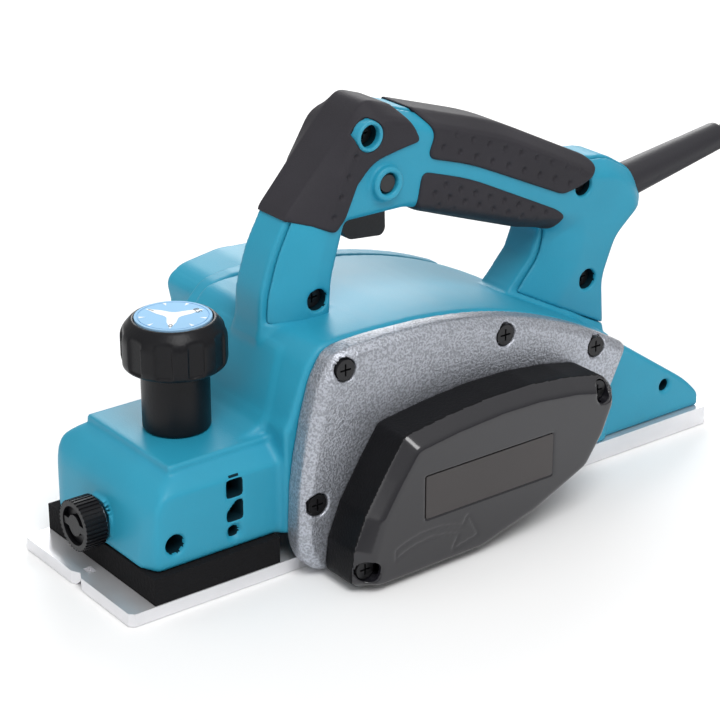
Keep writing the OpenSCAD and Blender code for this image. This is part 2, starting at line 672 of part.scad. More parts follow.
// Clearance round the drum, also for a shoe that has risen
module mouth_cut(rise) { for (z = [0, rise]) bar_y(drum_x, drum_z - z, mouth_r - 0.4, -60, 60); }
module rear_base() {
    color(ALLOY) difference() {
        linear_extrude(height = base_top - eps) polygon([[tail_x + 5, -sole_h], [tail_x, -sole_h + 5],
            [tail_x, sole_h - 5], [tail_x + 5, sole_h], [30, sole_h], [30, -sole_h]]);
        mouth_cut(0);
        box(-138, 6, -sole_h + 6, sole_h - 6, 5, 20);
        for (x = sole_screw_x, s = [-1, 1]) bar_z(x, s * sole_screw_y, 2.4, -1, 9);
        for (x = sole_screw_x, s = [-1, 1]) bar_z(x, s * sole_screw_y, 4.6, -1, 2.6);
    }
    color(ALLOY) for (x = sole_screw_x, s = [-1, 1]) difference() {
        bar_z(x, s * sole_screw_y, 7, 4, base_top - eps);
        bar_z(x, s * sole_screw_y, 2.4, -1, 20);
    }
}
module base_screws() {
    color(STEEL) for (x = sole_screw_x, s = [-1, 1]) translate([x, s * sole_screw_y, 0.3])
        rotate([180, 0, 0])
        screw(4.4, 2.2, 2.2, 12);
}
module front_shoe() {
    color(ALLOY) difference() {
        linear_extrude(height = plate_t) polygon([[tip_x - 2, -sole_h], [tip_x, -sole_h + 2],
            [tip_x, -4], [tip_x - 2, 0],
            [tip_x, 4], [tip_x, sole_h - 2], [tip_x - 2, sole_h], [60, sole_h], [60, -sole_h]]);
        mouth_cut(depth_max + 0.6);
        rotate([90, 0, 90]) linear_extrude(height = 400) polygon([[-2.6, -1], [2.6, -1], [0, 2]]);
        box(tip_x - 8, tip_x - 4.5, -2.5, 2.5, plate_t - 2, plate_t + 1);
        bar_z(knob_x, 0, 4, -1, 9);
        for (s = [-1, 1]) bar_z(pin_x, s * pin_y, 3, 2, 9);
    }
}
module front_foam_seal() {
    color("#1c1c1e") difference() {
        box(86, 144.6, -sole_h + 0.5, sole_h - 0.5, plate_t + eps, foam_top - 0.1);
        box(92, 139.5, -34.5, 34.5, 0, 30);
    }
}
module depth_stud() {
    color(STEEL) {
        bar_z(knob_x, 0, stud_r, plate_t, 78);
        bar_z(knob_x, 0, 3.98, 1, plate_t + eps);
        bar_z(knob_x, 0, 8.5, plate_t + eps, plate_t + 3);
    }
}
module shoe_guide_pins() {
    color(STEEL) for (s = [-1, 1]) {
        bar_z(pin_x, s * pin_y, pin_r, plate_t + eps, 32);
        bar_z(pin_x, s * pin_y, 2.98, 2.1, plate_t + 1);
    }
}
module depth_spring() {
    turns = 6;
    steps = 12;
    wire = 1;
    r = 10.5;
    z0 = plate_t + 4.2;
    z1 = 49.1;
    rings = turns * steps;
    color(STEEL) translate([knob_x, 0, 0]) polyhedron(
        points = [for (i = [0 : rings], j = [0 : 5])
            let (a = 360 * i / steps, b = 60 * j, q = r + wire * cos(b))
            [q * cos(a), q * sin(a), z0 + (z1 - z0) * i / rings + wire * sin(b)]],
        faces = sweep_faces(rings, 6));
}
// Faces of a closed tube of n + 1 rings of m points
function sweep_faces(n, m) = concat([[for (j = [0 : m - 1]) j]],
    [for (i = [0 : n - 1], j = [0 : m - 1]) [i * m + (j + 1) % m, i * m + j, (i + 1) * m + j, (i + 1)
        * m + (j + 1) % m]],
    [[for (j = [m - 1 : -1 : 0]) n * m + j]]);

knob_pockets = 10;
module depth_knob() {
    color(BLACK) difference() {
        union() {
            translate([knob_x, 0, 0]) rotate_extrude($fn = 96)
                polygon(soft([[skirt_r - 1.5, deck_z + 0.3],
                [skirt_r, deck_z + 0.3], [skirt_r, knob_z - 2, 1], [17, knob_z, 1], [knob_r, knob_z, 1.5],
                [knob_r, knob_top - 5.5, 3], [16, knob_top - 1, 2], [15.4, knob_top - 1.5],
                    [sleeve_r + 0.02, knob_top - 1.5],
                [sleeve_r + 0.02, deck_z + 6], [skirt_r - 1.5, deck_z + 6]]));
        }
        for (k = [0 : knob_pockets - 1]) translate([knob_x, 0, 0]) rotate(k * 360 / knob_pockets + 10)
            box(knob_r - 1.2, knob_r + 3, -3, 3, knob_z + 4, knob_top - 6);
    }
}
module depth_dial() {
    color("#b5d5ee") difference() {
        bar_z(knob_x, 0, 15.3, knob_top - 1.48, knob_top);
        ring_z(knob_x, 0, 14.2, 13.8, knob_top - 0.3, knob_top + 1);
    }
}
module ring_z(x, y, ro, ri, z0, z1) {
    difference() {
        bar_z(x, y, ro, z0, z1);
        bar_z(x, y, ri, z0 - 1, z1 + 1);
    }
}
module depth_sleeve() {
    color(BRASS) difference() {
        union() {
            bar_z(knob_x, 0, sleeve_r, 46, knob_top - 3);
            bar_z(knob_x, 0, 6.6, 40, 46 + eps);
        }
        bar_z(knob_x, 0, stud_r + clear, 30, 90);
        ring_z(knob_x, 0, sleeve_r + 1, sleeve_r - 0.9, 50.25, 51.85);
    }
}
module sleeve_clip() {
    color(STEEL) difference() {
        ring_z(knob_x, 0, 12, sleeve_r - 0.88, 50.3, 51.8);
        box(knob_x - 20, knob_x, -1.2, 1.2, 50, 52);
    }
}
module clamp_washer() {
    color(STEEL) difference() {
        bar_x(0, rod_z, 8, thumb_x0 - 1.45, thumb_x0 - 0.05);
        bar_x(0, rod_z, 2.56, thumb_x0 - 3, thumb_x0 + 1);
    }
}
module guide_clamp_screw() {
    head_r = 10.6;
    teeth = 36;
    color(BLACK) difference() {
        bar_x(0, rod_z, head_r, thumb_x0, thumb_x1);
        for (k = [0 : teeth - 1]) translate([0, 0, rod_z]) rotate([k * 360 / teeth, 0, 0])
            box(thumb_x0 - 1, thumb_x1 + 1, head_r - 0.5, head_r + 1, -0.45, 0.45);
        difference() {
            bar_x(0, rod_z, head_r - 2.5, thumb_x1 - 2.2, thumb_x1 + 1);
            bar_x(0, rod_z, 4.4, thumb_x1 - 4, thumb_x1 - 0.4);
            translate([0, 0, rod_z]) box(thumb_x1 - 4, thumb_x1 - 0.4, -head_r, head_r, -1.6, 1.6);
        }
    }
    color(STEEL) bar_x(0, rod_z, 2.5, rod_x + rod_r + 0.3, thumb_x0 + eps);
}

// ---- Switch gear in the handle ----

module trigger() {
    p = trigger_pivot;
    color(BLACK) difference() {
        slab(soft([[34.5, 137, 2], [33, 141.5, 2], [8, 136.5, 1], [7.5, 119.5, 1.5], [9.5, 117.3, 1.5],
            [27, 119, 3],
            [32, 128]]), -6.5, 6.5);
        bar_y(p[0], p[1], 1.55, -10, 10);
    }
}
module trigger_pin() { color(STEEL) bar_y(trigger_pivot[0], trigger_pivot[1], 1.5, -16, 16); }
module coil_spring(r, wire, length, turns) {
    steps = 10;
    rings = turns * steps;
    polyhedron(points = [for (i = [0 : rings], j = [0 : 4])
        let (a = 360 * i / steps, b = 72 * j, q = r + wire * cos(b))
        [q * cos(a), q * sin(a), wire + (length - 2 * wire) * i / rings + wire * sin(b)]],
        faces = sweep_faces(rings, 5));
}
module trigger_spring() {
    color(STEEL) translate([14, 0, 138.2]) coil_spring(2.4, 0.35, 5, 4);
}
module lock_button() {
    color("#6d7074") {
        bar_y(lock_at[0], lock_at[1], 3.6, grip_h - 5, grip_h + 1.8);
        bar_y(lock_at[0], lock_at[1], 5.4, grip_h - 6, grip_h - 3.2);
    }
}
module lock_spring() {
    color(STEEL) translate([lock_at[0], 5.9, lock_at[1]]) rotate([-90, 0, 0])
        coil_spring(2.6, 0.35, grip_h - 6.1 - 5.9, 4);
}
module switch_unit() {
    color("#2b2b2e") {
        difference() {
            slab([[-30, 126.2], [-5, 135], [5, 137], [2, 151], [-33, 141.5]], -9, 8.5);
            bar_y(-14, 141, 2.5, 4, 20);
        }
        box(8, 20, -9, 5.2, 143.5, 147);
        slab([[0, 141], [10, 143.5], [10, 147], [0, 149]], -9, 5);
    }
}
module capacitor() {
    color("#c9b26a") slab([[-66, 115.6], [-60, 116.4], [-46, 120.9], [-49, 131.5], [-69, 126]], -8, 6);
}
module cord_clamp() {
    color(BLACK) difference() {
        box(clamp_x, clamp_x + 5, -9.5, 9.5, 105.4, 109.8);
        on_guard() cylinder(r = cord_r + clear, h = 100);
        clamp_screw_bores(1.52);
    }
    color(STEEL) for (s = [-1, 1]) bar_z(clamp_x + 2.5, s * 7, 1.5, 96.5, 110.5);
}
handle_screw_head = grip_h - 4.58;
module handle_screws() {
    color(BLACK) for (p = handle_screw_at) screw_y(p[0], handle_screw_head, p[1], 4.2, 2, 1.55, 13);
}
module bracket_screws() {
    color(BLACK) for (p = bracket_screw_at) screw_y(p[0], face_y - 0.6, p[1], 4.3, 2.4, 2.1, 17);
}
module belt_cover_screws() {
    color(BLACK) for (p = cover_screw_at) screw_y(p[0], rim_y + 1.4, p[1], 4.1, 2.4, 1.55, 16);
}
module motor_housing_screws() {
    color(BLACK) for (p = motor_screw_at) mirror([0, 1, 0])
        screw_y(p[0], -flange_y + 2.3, p[1], 4.2, 2.25, 2, 16);
}

// ---- Mains lead ----

// Frame of the guard: z = 0 at its free end, +Z into the housing
module on_guard() { translate(guard_end) rotate([0, 90 + guard_tilt, 0]) children(); }
module cord_guard() {
    color(BLACK) on_guard() rotate_extrude() polygon([[0, 0], [6.2, 0], [6.5, 1.5], [8.2, guard_l - 2],
        [8.6, guard_l - 2],
        [8.6, guard_l], [7, guard_l], [7, guard_l + 18], [8.2, guard_l + 18.1], [8.2, guard_l + 21],
        [cord_r, guard_l + 21.1], [cord_r, guard_l + 29], [0, guard_l + 29]]);
}
// A tube swept along a route of points
module cord_tube(route, r, sides = 10) {
    n = len(route) - 1;
    function heading(i) = unit(route[min(i + 1, n)] - route[max(i - 1, 0)]);
    function across(i) = unit(cross([0.02, 1, 0.3], heading(i)));
    polyhedron(points = [for (i = [0 : n], j = [0 : sides - 1])
        let (h = heading(i), u = across(i), v = cross(h, u),
            a = 360 * j / sides) route[i] + r * (cos(a) * u + sin(a) * v)],
        faces = sweep_faces(n, sides));
}
module power_cord() { color(BLACK) cord_tube(lead_route, cord_r); }
module cord_tail() { color(BLACK) cord_tube(tail_route, cord_r); }
module cord_coil() {
    ro = coil_r + 1.5 * cord_d;
    ri = coil_r - 1.5 * cord_d;
    color(BLACK) translate([coil_at[0], coil_at[1], 0]) rotate_extrude()
        polygon([[ri, 0.05], [ro, 0.05], [ro, cord_d],
        [coil_r + cord_r, coil_h], [coil_r - cord_r, coil_h], [ri, cord_d]]);
}
module cord_tie() {
    color(BLACK) translate([coil_at[0], coil_at[1], 0]) rotate(60) difference() {
        box(coil_r - 14.5, coil_r + 14.5, -4, 4, 0, coil_h + 1.6);
        box(coil_r - 13, coil_r + 13, -5, 5, -1, coil_h + 0.05);
    }
}
module on_plug() { translate(tail_route[len(tail_route) - 1]) rotate([0, 0, 180 + plug_turn])
    children(); }
module plug_body() {
    color(BLACK) on_plug() difference() {
        union() {
            translate([0.05, 0, 0]) rotate([0, 90, 0]) cylinder(r1 = 4.6, r2 = 6.2, h = 14);
            translate([12, 0, -6.9]) linear_extrude(height = 13.8)
                polygon(soft([[0, -7, 2], [8, -13, 4], [26, -17.5, 2], [26, 17.5, 2], [8, 13, 4],
                    [0, 7, 2]]));
        }
        for (s = [-1, 1]) bar_x(s * 9.5, 0, 2.42, 33.9, 60);
    }
}
module plug_pins() {
    color(BRASS) on_plug() for (s = [-1, 1]) bar_x(s * 9.5, 0, 2.4, 34, 57);
}

main_housing();
handle_left_cover();
motor_housing();
front_grip();
upper_grip();
lower_grip();
side_bracket();
belt_cover();
cover_badge();
rear_base();
drive_belt();
drum_bearings();
armature_bearings();
stator_core();
field_coils();
brush_holders();
carbon_brushes();
brush_caps();
switch_unit();
capacitor();
cord_clamp();
cord_guard();
power_cord();
cord_tail();
cord_coil();
cord_tie();
plug_body();
plug_pins();
handle_screws();
bracket_screws();
belt_cover_screws();
motor_housing_screws();
base_screws();
depth_spring();
depth_knob();
depth_dial();
depth_sleeve();
sleeve_clip();
front_shoe();
front_foam_seal();
depth_stud();
shoe_guide_pins();
clamp_washer();
guide_clamp_screw();
cutter_drum();
drum_blades();
blade_clamps();
blade_bolts();
drum_pulley();
armature_shaft();
armature_core();
commutator();
cooling_fan();
drive_pulley();
trigger();
trigger_pin();
trigger_spring();
lock_button();
lock_spring();
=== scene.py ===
import json
import math

import bmesh
import bpy
import numpy as np
from mathutils import Matrix, Vector


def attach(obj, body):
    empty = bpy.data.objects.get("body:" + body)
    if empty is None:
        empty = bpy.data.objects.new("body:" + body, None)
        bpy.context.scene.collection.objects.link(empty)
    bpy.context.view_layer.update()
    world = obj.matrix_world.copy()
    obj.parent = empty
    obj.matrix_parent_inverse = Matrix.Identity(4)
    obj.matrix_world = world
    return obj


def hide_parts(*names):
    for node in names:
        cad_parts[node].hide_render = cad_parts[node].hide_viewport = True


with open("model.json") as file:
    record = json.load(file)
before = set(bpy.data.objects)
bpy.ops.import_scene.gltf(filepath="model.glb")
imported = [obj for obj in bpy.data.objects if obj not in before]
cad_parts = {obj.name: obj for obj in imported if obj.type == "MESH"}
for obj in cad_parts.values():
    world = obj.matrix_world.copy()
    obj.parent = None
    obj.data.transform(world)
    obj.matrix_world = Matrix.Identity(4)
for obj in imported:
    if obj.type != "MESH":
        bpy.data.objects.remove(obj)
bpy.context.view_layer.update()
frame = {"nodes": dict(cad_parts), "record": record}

MM = 0.001
NODES = frame["nodes"]

# ---------------------------------------------------------------- sizes, in millimetres

SOLE_HALF = 41.0
BLOCK_HALF = 38.5
GRIP_HALF = 17.2
RIDGE_HALF = 9.0
PAD_PROUD = 1.3
SIDE_REACH = 76.5
FACE_Y = 52.5
RIM_Y = 70.0
FLANGE_Y = -50.0
CUT_R = 26.5
DRUM_X = 46.0
MOTOR_X = -29.0
MOTOR_Z = 43.0
MOUTH_R = 28.1
KNOB_X = 106.7
ROD_X = 132.6
ROD_Z = 27.0
ROD_R = 4.1
FOAM_TOP = 17.0
BASE_TOP = 8.7
DECK_Z = 56.7
LOCK_AT = (16.0, 144.3)
RING_AT = (24, 165)
GUARD_END = np.array([-190.0, 0.0, 120.0])
GUARD_TILT = math.radians(10)
GUARD_L = 60.0
CORD_D = 8.0
COIL_AT = np.array([-275.0, 34.0])
HANDLE_SCREWS = [(24, 165), (49.3, 101.5), (-92.5, 120.2), (-97, 76)]
BRACKET_SCREWS = [(61.7, 86.6), (75.6, 32.6), (-19.7, 80.8), (-70.6, 62.7)]
COVER_SCREWS = [(67, 9.5), (-54, 54)]


# ---------------------------------------------------------------- camera, light and floor

# In metres
FLOOR_REACH = 6
FLOOR_DROP = 0.0003


def make_camera():
    place = Vector((0.52948, 0.67938, 0.43030))
    target = Vector((0.01548, 0.0, 0.06094))
    data = bpy.data.cameras.new("camera")
    data.lens = 110.63
    data.sensor_width = 36
    camera = bpy.data.objects.new("camera", data)
    camera.location = place
    camera.rotation_euler = (target - place).to_track_quat("-Z", "Y").to_euler()
    bpy.context.scene.collection.objects.link(camera)
    bpy.context.scene.camera = camera


def area_light(name, place, size, power, colour=(1, 1, 1)):
    data = bpy.data.lights.new(name, "AREA")
    data.shape = "DISK"
    data.size = size
    data.energy = power
    data.color = colour
    light = bpy.data.objects.new(name, data)
    light.location = place
    light.rotation_euler = (Vector((0, 0, 0.06)) - Vector(place)).to_track_quat("-Z", "Y").to_euler()
    bpy.context.scene.collection.objects.link(light)


def make_world():
    """White to the camera; as a light it is dim near the horizon and stronger overhead."""
    world = bpy.data.worlds.new("studio")
    world.use_nodes = True
    tree = world.node_tree
    tree.nodes["Background"].inputs["Color"].default_value = (1, 1, 1, 1)
    place = node(tree, "ShaderNodeTexCoord")
    split = node(tree, "ShaderNodeSeparateXYZ")
    rise = node(tree, "ShaderNodeMapRange")
    rise.inputs["To Min"].default_value = 0.3
    rise.inputs["To Max"].default_value = 0.85
    tree.links.new(place.outputs["Generated"], split.inputs["Vector"])
    tree.links.new(split.outputs["Z"], rise.inputs["Value"])
    path = node(tree, "ShaderNodeLightPath")
    seen = node(tree, "ShaderNodeMath", operation="MAXIMUM")
    tree.links.new(rise.outputs["Result"], seen.inputs[0])
    tree.links.new(path.outputs["Is Camera Ray"], seen.inputs[1])
    tree.links.new(seen.outputs["Value"], tree.nodes["Background"].inputs["Strength"])
    bpy.context.scene.world = world


def make_floor():
    mesh = bpy.data.meshes.new("floor")
    corners = [(-FLOOR_REACH, -FLOOR_REACH, 0), (FLOOR_REACH, -FLOOR_REACH, 0),
               (FLOOR_REACH, FLOOR_REACH, 0), (-FLOOR_REACH, FLOOR_REACH, 0)]
    mesh.from_pydata(corners, [], [(0, 1, 2, 3)])
    floor = bpy.data.objects.new("floor", mesh)
    floor.location.z = -FLOOR_DROP
    bpy.context.scene.collection.objects.link(floor)
    paint = bpy.data.materials.new("floor_paper")
    paint.use_nodes = True
    shader = paint.node_tree.nodes["Principled BSDF"]
    shader.inputs["Base Color"].default_value = (0.93, 0.93, 0.93, 1)
    shader.inputs["Roughness"].default_value = 0.9
    mesh.materials.append(paint)


def make_studio():
    make_world()
    area_light("key", (0.3, 0.9, 1.5), 0.9, 15)
    area_light("front", (1.4, 0.3, 0.5), 0.8, 1.5)
    area_light("back", (-0.85, -1.1, 0.75), 0.9, 12)
    make_floor()
    bpy.context.scene.view_settings.view_transform = "Standard"


# ---------------------------------------------------------------- materials

def node(tree, kind, **values):
    made = tree.nodes.new(kind)
    for key, value in values.items():
        setattr(made, key, value)
    return made


def material(name, colour, rough, metal=0.0, coat=0.0, variation=0.06, grain=900.0, grain_depth=0.08,
             wave=0.0, rough_variation=0.08, wear=0.0, wear_colour=(0.6, 0.6, 0.62), shine=0.5,
             speckle=0.0):
    """Colour that drifts a little, fine grain in the bump, uneven roughness and worn edges."""
    made = bpy.data.materials.new(name)
    made.use_nodes = True
    tree = made.node_tree
    shader = tree.nodes["Principled BSDF"]
    shader.inputs["Metallic"].default_value = metal
    shader.inputs["Coat Weight"].default_value = coat
    shader.inputs["Specular IOR Level"].default_value = shine
    shader.inputs["Coat Roughness"].default_value = 0.12
    place = node(tree, "ShaderNodeTexCoord")
    drift = node(tree, "ShaderNodeTexNoise")
    drift.inputs["Scale"].default_value = 24
    drift.inputs["Detail"].default_value = 5
    tree.links.new(place.outputs["Object"], drift.inputs["Vector"])
    ramp = node(tree, "ShaderNodeValToRGB")
    low = [max(0.0, c * (1 - variation)) for c in colour]
    high = [min(1.0, c * (1 + variation)) for c in colour]
    ramp.color_ramp.elements[0].position = 0.3
    ramp.color_ramp.elements[1].position = 0.7
    ramp.color_ramp.elements[0].color = (*low, 1)
    ramp.color_ramp.elements[1].color = (*high, 1)
    tree.links.new(drift.outputs["Fac"], ramp.inputs["Fac"])
    colour_out = ramp.outputs["Color"]
    if wear > 0:
        shape = node(tree, "ShaderNodeNewGeometry")
        edge = node(tree, "ShaderNodeMapRange")
        edge.inputs["From Min"].default_value = 0.53
        edge.inputs["From Max"].default_value = 0.6
        edge.inputs["To Max"].default_value = wear
        tree.links.new(shape.outputs["Pointiness"], edge.inputs["Value"])
        worn = node(tree, "ShaderNodeMix", data_type="RGBA")
        worn.inputs["B"].default_value = (*wear_colour, 1)
        tree.links.new(edge.outputs["Result"], worn.inputs["Factor"])
        tree.links.new(colour_out, worn.inputs["A"])
        colour_out = worn.outputs["Result"]
    tree.links.new(colour_out, shader.inputs["Base Color"])
    patch = node(tree, "ShaderNodeMapRange")
    patch.inputs["To Min"].default_value = max(0.02, rough - rough_variation)
    patch.inputs["To Max"].default_value = min(1.0, rough + rough_variation)
    tree.links.new(drift.outputs["Fac"], patch.inputs["Value"])
    tree.links.new(patch.outputs["Result"], shader.inputs["Roughness"])
    fine = node(tree, "ShaderNodeTexNoise")
    fine.inputs["Scale"].default_value = grain
    fine.inputs["Detail"].default_value = 3
    stretch = node(tree, "ShaderNodeMapping")
    stretch.inputs["Scale"].default_value = (1, 1 if wave == 0 else wave, 1)
    tree.links.new(place.outputs["Object"], stretch.inputs["Vector"])
    tree.links.new(stretch.outputs["Vector"], fine.inputs["Vector"])
    if speckle > 0:
        dots = node(tree, "ShaderNodeMapRange")
        dots.inputs["From Min"].default_value = 0.42
        dots.inputs["From Max"].default_value = 0.58
        dots.inputs["To Min"].default_value = 1 - speckle
        dots.inputs["To Max"].default_value = 1 + speckle
        tree.links.new(fine.outputs["Fac"], dots.inputs["Value"])
        spotted = node(tree, "ShaderNodeVectorMath", operation="SCALE")
        tree.links.new(colour_out, spotted.inputs[0])
        tree.links.new(dots.outputs["Result"], spotted.inputs["Scale"])
        tree.links.new(spotted.outputs["Vector"], shader.inputs["Base Color"])
    bump = node(tree, "ShaderNodeBump")
    bump.inputs["Strength"].default_value = grain_depth
    bump.inputs["Distance"].default_value = 0.0006
    tree.links.new(fine.outputs["Fac"], bump.inputs["Height"])
    tree.links.new(bump.outputs["Normal"], shader.inputs["Normal"])
    return made


TEAL = (0.022, 0.30, 0.45)
# Painted shade: a near-black teal laid on the insides of holes and recesses where shade falls
HOLE_SHADE_COLOUR = (0.003, 0.02, 0.03)
MATERIALS = {
    "teal_housing": material("teal_plastic", TEAL, 0.45, grain=1500, grain_depth=0.12, wear=0.12,
                             wear_colour=(0.2, 0.5, 0.6), shine=0.35),
    # painted shade material for the insides of holes and recesses
    "painted_hole_shade": material("painted_hole_shade", HOLE_SHADE_COLOUR, 0.7, shine=0.1),
    "soft_grip": material("grip_rubber", (0.026, 0.024, 0.03), 0.66, grain=2200, grain_depth=0.25,
                          variation=0.15, shine=0.3),
    "hammered_alloy": material("hammered_alloy", (0.42, 0.44, 0.49), 0.38, metal=0.7, grain=1100,
                               grain_depth=0.75, coat=0.25, variation=0.05, speckle=0.22),
    "gloss_cover": material("cover_black", (0.01, 0.0095, 0.013), 0.22, coat=0.45, grain=1300,
                            grain_depth=0.02, rough_variation=0.04, shine=0.5),
    "textured_cover": material("cover_collar", (0.004, 0.004, 0.005), 0.5, grain=1100, grain_depth=0.35,
                               shine=0.16),
    "badge_panel": material("badge", (0.05, 0.045, 0.045), 0.45, grain=2600, grain_depth=0.06, variation=0.1,
                            shine=0.4),
    "sole_aluminium": material("sole_aluminium", (0.8, 0.8, 0.82), 0.38, metal=0.7, grain=1500,
                               grain_depth=0.1, wave=0.05),
    "belt_rubber": material("belt_rubber", (0.02, 0.02, 0.02), 0.75, grain_depth=0.2),
    "bright_steel": material("bright_steel", (0.62, 0.62, 0.64), 0.24, metal=1.0),
    "lamination_steel": material("laminations", (0.3, 0.3, 0.32), 0.45, metal=0.9, wave=30.0),
    "enamelled_copper": material("enamelled_copper", (0.5, 0.2, 0.07), 0.3, metal=0.8, wave=20.0,
                                 grain_depth=0.3),
    "copper_bars": material("copper_bars", (0.75, 0.38, 0.22), 0.28, metal=1.0),
    "brass_parts": material("brass", (0.72, 0.56, 0.26), 0.28, metal=1.0),
    "carbon": material("carbon", (0.03, 0.03, 0.03), 0.6, grain_depth=0.2),
    "black_plastic": material("black_plastic", (0.012, 0.012, 0.014), 0.42, grain_depth=0.15, shine=0.3),
    "capacitor_case": material("capacitor_case", (0.6, 0.45, 0.12), 0.35),
    "cord_rubber": material("cord_rubber", (0.022, 0.021, 0.026), 0.5, grain_depth=0.15, shine=0.4),
    "black_steel": material("black_steel", (0.02, 0.02, 0.022), 0.32, metal=0.5),
    "knob_plastic": material("knob_plastic", (0.006, 0.006, 0.0075), 0.38, grain_depth=0.12, shine=0.22),
    "dial_blue": material("dial_blue", (0.3, 0.52, 0.74), 0.7, grain_depth=0.03, shine=0.1),
    "dial_white": material("dial_white", (0.85, 0.87, 0.88), 0.7, grain_depth=0.03, shine=0.1),
    "foam": material("foam", (0.009, 0.009, 0.01), 0.95, grain=700, grain_depth=0.9, shine=0.15),
    "drum_alloy": material("drum_alloy", (0.62, 0.63, 0.65), 0.3, metal=1.0, wave=0.1),
    "blade_steel": material("blade_steel", (0.6, 0.6, 0.62), 0.22, metal=1.0, wave=0.1),
    "grey_button": material("grey_button", (0.02, 0.02, 0.022), 0.4, shine=0.4),
}
SLOT_OF = {entry["node"]: entry["material_slot"] for entry in frame["record"]["subparts"]}


# ---------------------------------------------------------------- distance fields

def softened(outline, n=4):
    """Each corner is [x, z, length cut off]; the cut is a short curve."""
    points = [np.array(p[:2], float) for p in outline]
    out = []
    for i, entry in enumerate(outline):
        here, before, after = points[i], points[i - 1], points[(i + 1) % len(points)]
        back, ahead = before - here, after - here
        cut = 0.0
        if len(entry) > 2:
            cut = min(entry[2], 0.48 * np.linalg.norm(back), 0.48 * np.linalg.norm(ahead))
        if cut == 0:
            out.append(here)
            continue
        a = here + cut * back / np.linalg.norm(back)
        b = here + cut * ahead / np.linalg.norm(ahead)
        for k in range(n + 1):
            t = k / n
            out.append((1 - t) ** 2 * a + 2 * t * (1 - t) * here + t * t * b)
    return np.array(out)


def hump_z(x):
    return 95 - 0.0004615 * abs(45 - x) ** 2.3


def hump_line(x0, x1, n, drop=0.0):
    return [[x0 + (x1 - x0) * k / n, hump_z(x0 + (x1 - x0) * k / n) - drop] for k in range(n + 1)]


class Field:
    """A grid of points in millimetres on which shapes are built from distances."""

    def __init__(self, low, high, step):
        self.low = np.array(low, float)
        self.step = step
        counts = np.ceil((np.array(high, float) - self.low) / step).astype(int) + 1
        axes = [self.low[i] + step * np.arange(counts[i]) for i in range(3)]
        self.x = axes[0].reshape(-1, 1, 1).astype(np.float32)
        self.y = axes[1].reshape(1, -1, 1).astype(np.float32)
        self.z = axes[2].reshape(1, 1, -1).astype(np.float32)

    def outline(self, points):
        """Signed distance to a closed outline in X and Z, negative inside."""
        return polygon_distance(points, self.x, self.z)

    def plan(self, points):
        """The same for an outline in X and Y."""
        return polygon_distance(points, self.x, self.y)

    def cross(self, points):
        """The same for an outline in Y and Z."""
        return polygon_distance(points, self.y, self.z)

    def between_y(self, y0, y1):
        return np.maximum(y0 - self.y, self.y - y1)

    def bar_y(self, x, z, r, y0=-999, y1=999):
        return np.maximum(np.sqrt((self.x - x) ** 2 + (self.z - z) ** 2) - r, self.between_y(y0, y1))

    def bar_x(self, y, z, r, x0=-999, x1=999):
        round_part = np.sqrt((self.y - y) ** 2 + (self.z - z) ** 2) - r
        return np.maximum(round_part, np.maximum(x0 - self.x, self.x - x1))

    def bar_z(self, x, y, r, z0=-999, z1=999):
        round_part = np.sqrt((self.x - x) ** 2 + (self.y - y) ** 2) - r
        return np.maximum(round_part, np.maximum(z0 - self.z, self.z - z1))

    def box(self, x0, x1, y0, y1, z0, z1):
        return np.maximum(np.maximum(x0 - self.x, self.x - x1),
                          np.maximum(self.between_y(y0, y1), np.maximum(z0 - self.z, self.z - z1)))

    def ball(self, x, y, z, r):
        return np.sqrt((self.x - x) ** 2 + (self.y - y) ** 2 + (self.z - z) ** 2) - r


def polygon_distance(points, u, v):
    points = np.asarray(points, np.float32)
    near = None
    sign = None
    for a, b in zip(points, np.roll(points, -1, axis=0)):
        eu, ev = b - a
        wu, wv = u - a[0], v - a[1]
        t = np.clip((wu * eu + wv * ev) / max(float(eu * eu + ev * ev), 1e-9), 0, 1)
        square = (wu - eu * t) ** 2 + (wv - ev * t) ** 2
        above, below, left = wv >= 0, (v - b[1]) < 0, (eu * wv) > (ev * wu)
        flip = (above & below & left) | (~above & ~below & ~left)
        flip = np.where(flip, -1.0, 1.0).astype(np.float32)
        near = square if near is None else np.minimum(near, square)
        sign = flip if sign is None else sign * flip
    return sign * np.sqrt(near)


def meet(a, b, k=0.0):
    """Intersection; k rounds the edge where the two surfaces meet."""
    if k <= 0:
        return np.maximum(a, b)
    return np.maximum(a, b) + np.maximum(k - np.abs(a - b), 0) ** 2 / (4 * k)


def join(a, b, k=0.0):
    return -meet(-a, -b, k)


def cut(a, b, k=0.0):
    return meet(a, -b, k)


CORNERS = np.array([(i, j, k) for i in (0, 1) for j in (0, 1) for k in (0, 1)])
EDGES = [(a, b) for a in range(8) for b in range(a + 1, 8) if abs(CORNERS[a] - CORNERS[b]).sum() == 1]


def net_points(values):
    """One point in each cell that the surface crosses, and the cell numbers."""
    inside = values < 0
    count = np.zeros(tuple(n - 1 for n in values.shape), np.int8)
    for i, j, k in CORNERS:
        count += inside[i:i + count.shape[0], j:j + count.shape[1], k:k + count.shape[2]]
    cells = np.argwhere((count > 0) & (count < 8))
    corner = [values[tuple((cells + c).T)] for c in CORNERS]
    total = np.zeros((len(cells), 3))
    number = np.zeros(len(cells))
    for a, b in EDGES:
        crossed = (corner[a] < 0) != (corner[b] < 0)
        t = corner[a][crossed] / (corner[a][crossed] - corner[b][crossed])
        total[crossed] += CORNERS[a] + t[:, None] * (CORNERS[b] - CORNERS[a])
        number[crossed] += 1
    index = np.full(count.shape, -1, np.int64)
    index[tuple(cells.T)] = np.arange(len(cells))
    return cells + total / number[:, None], index, inside


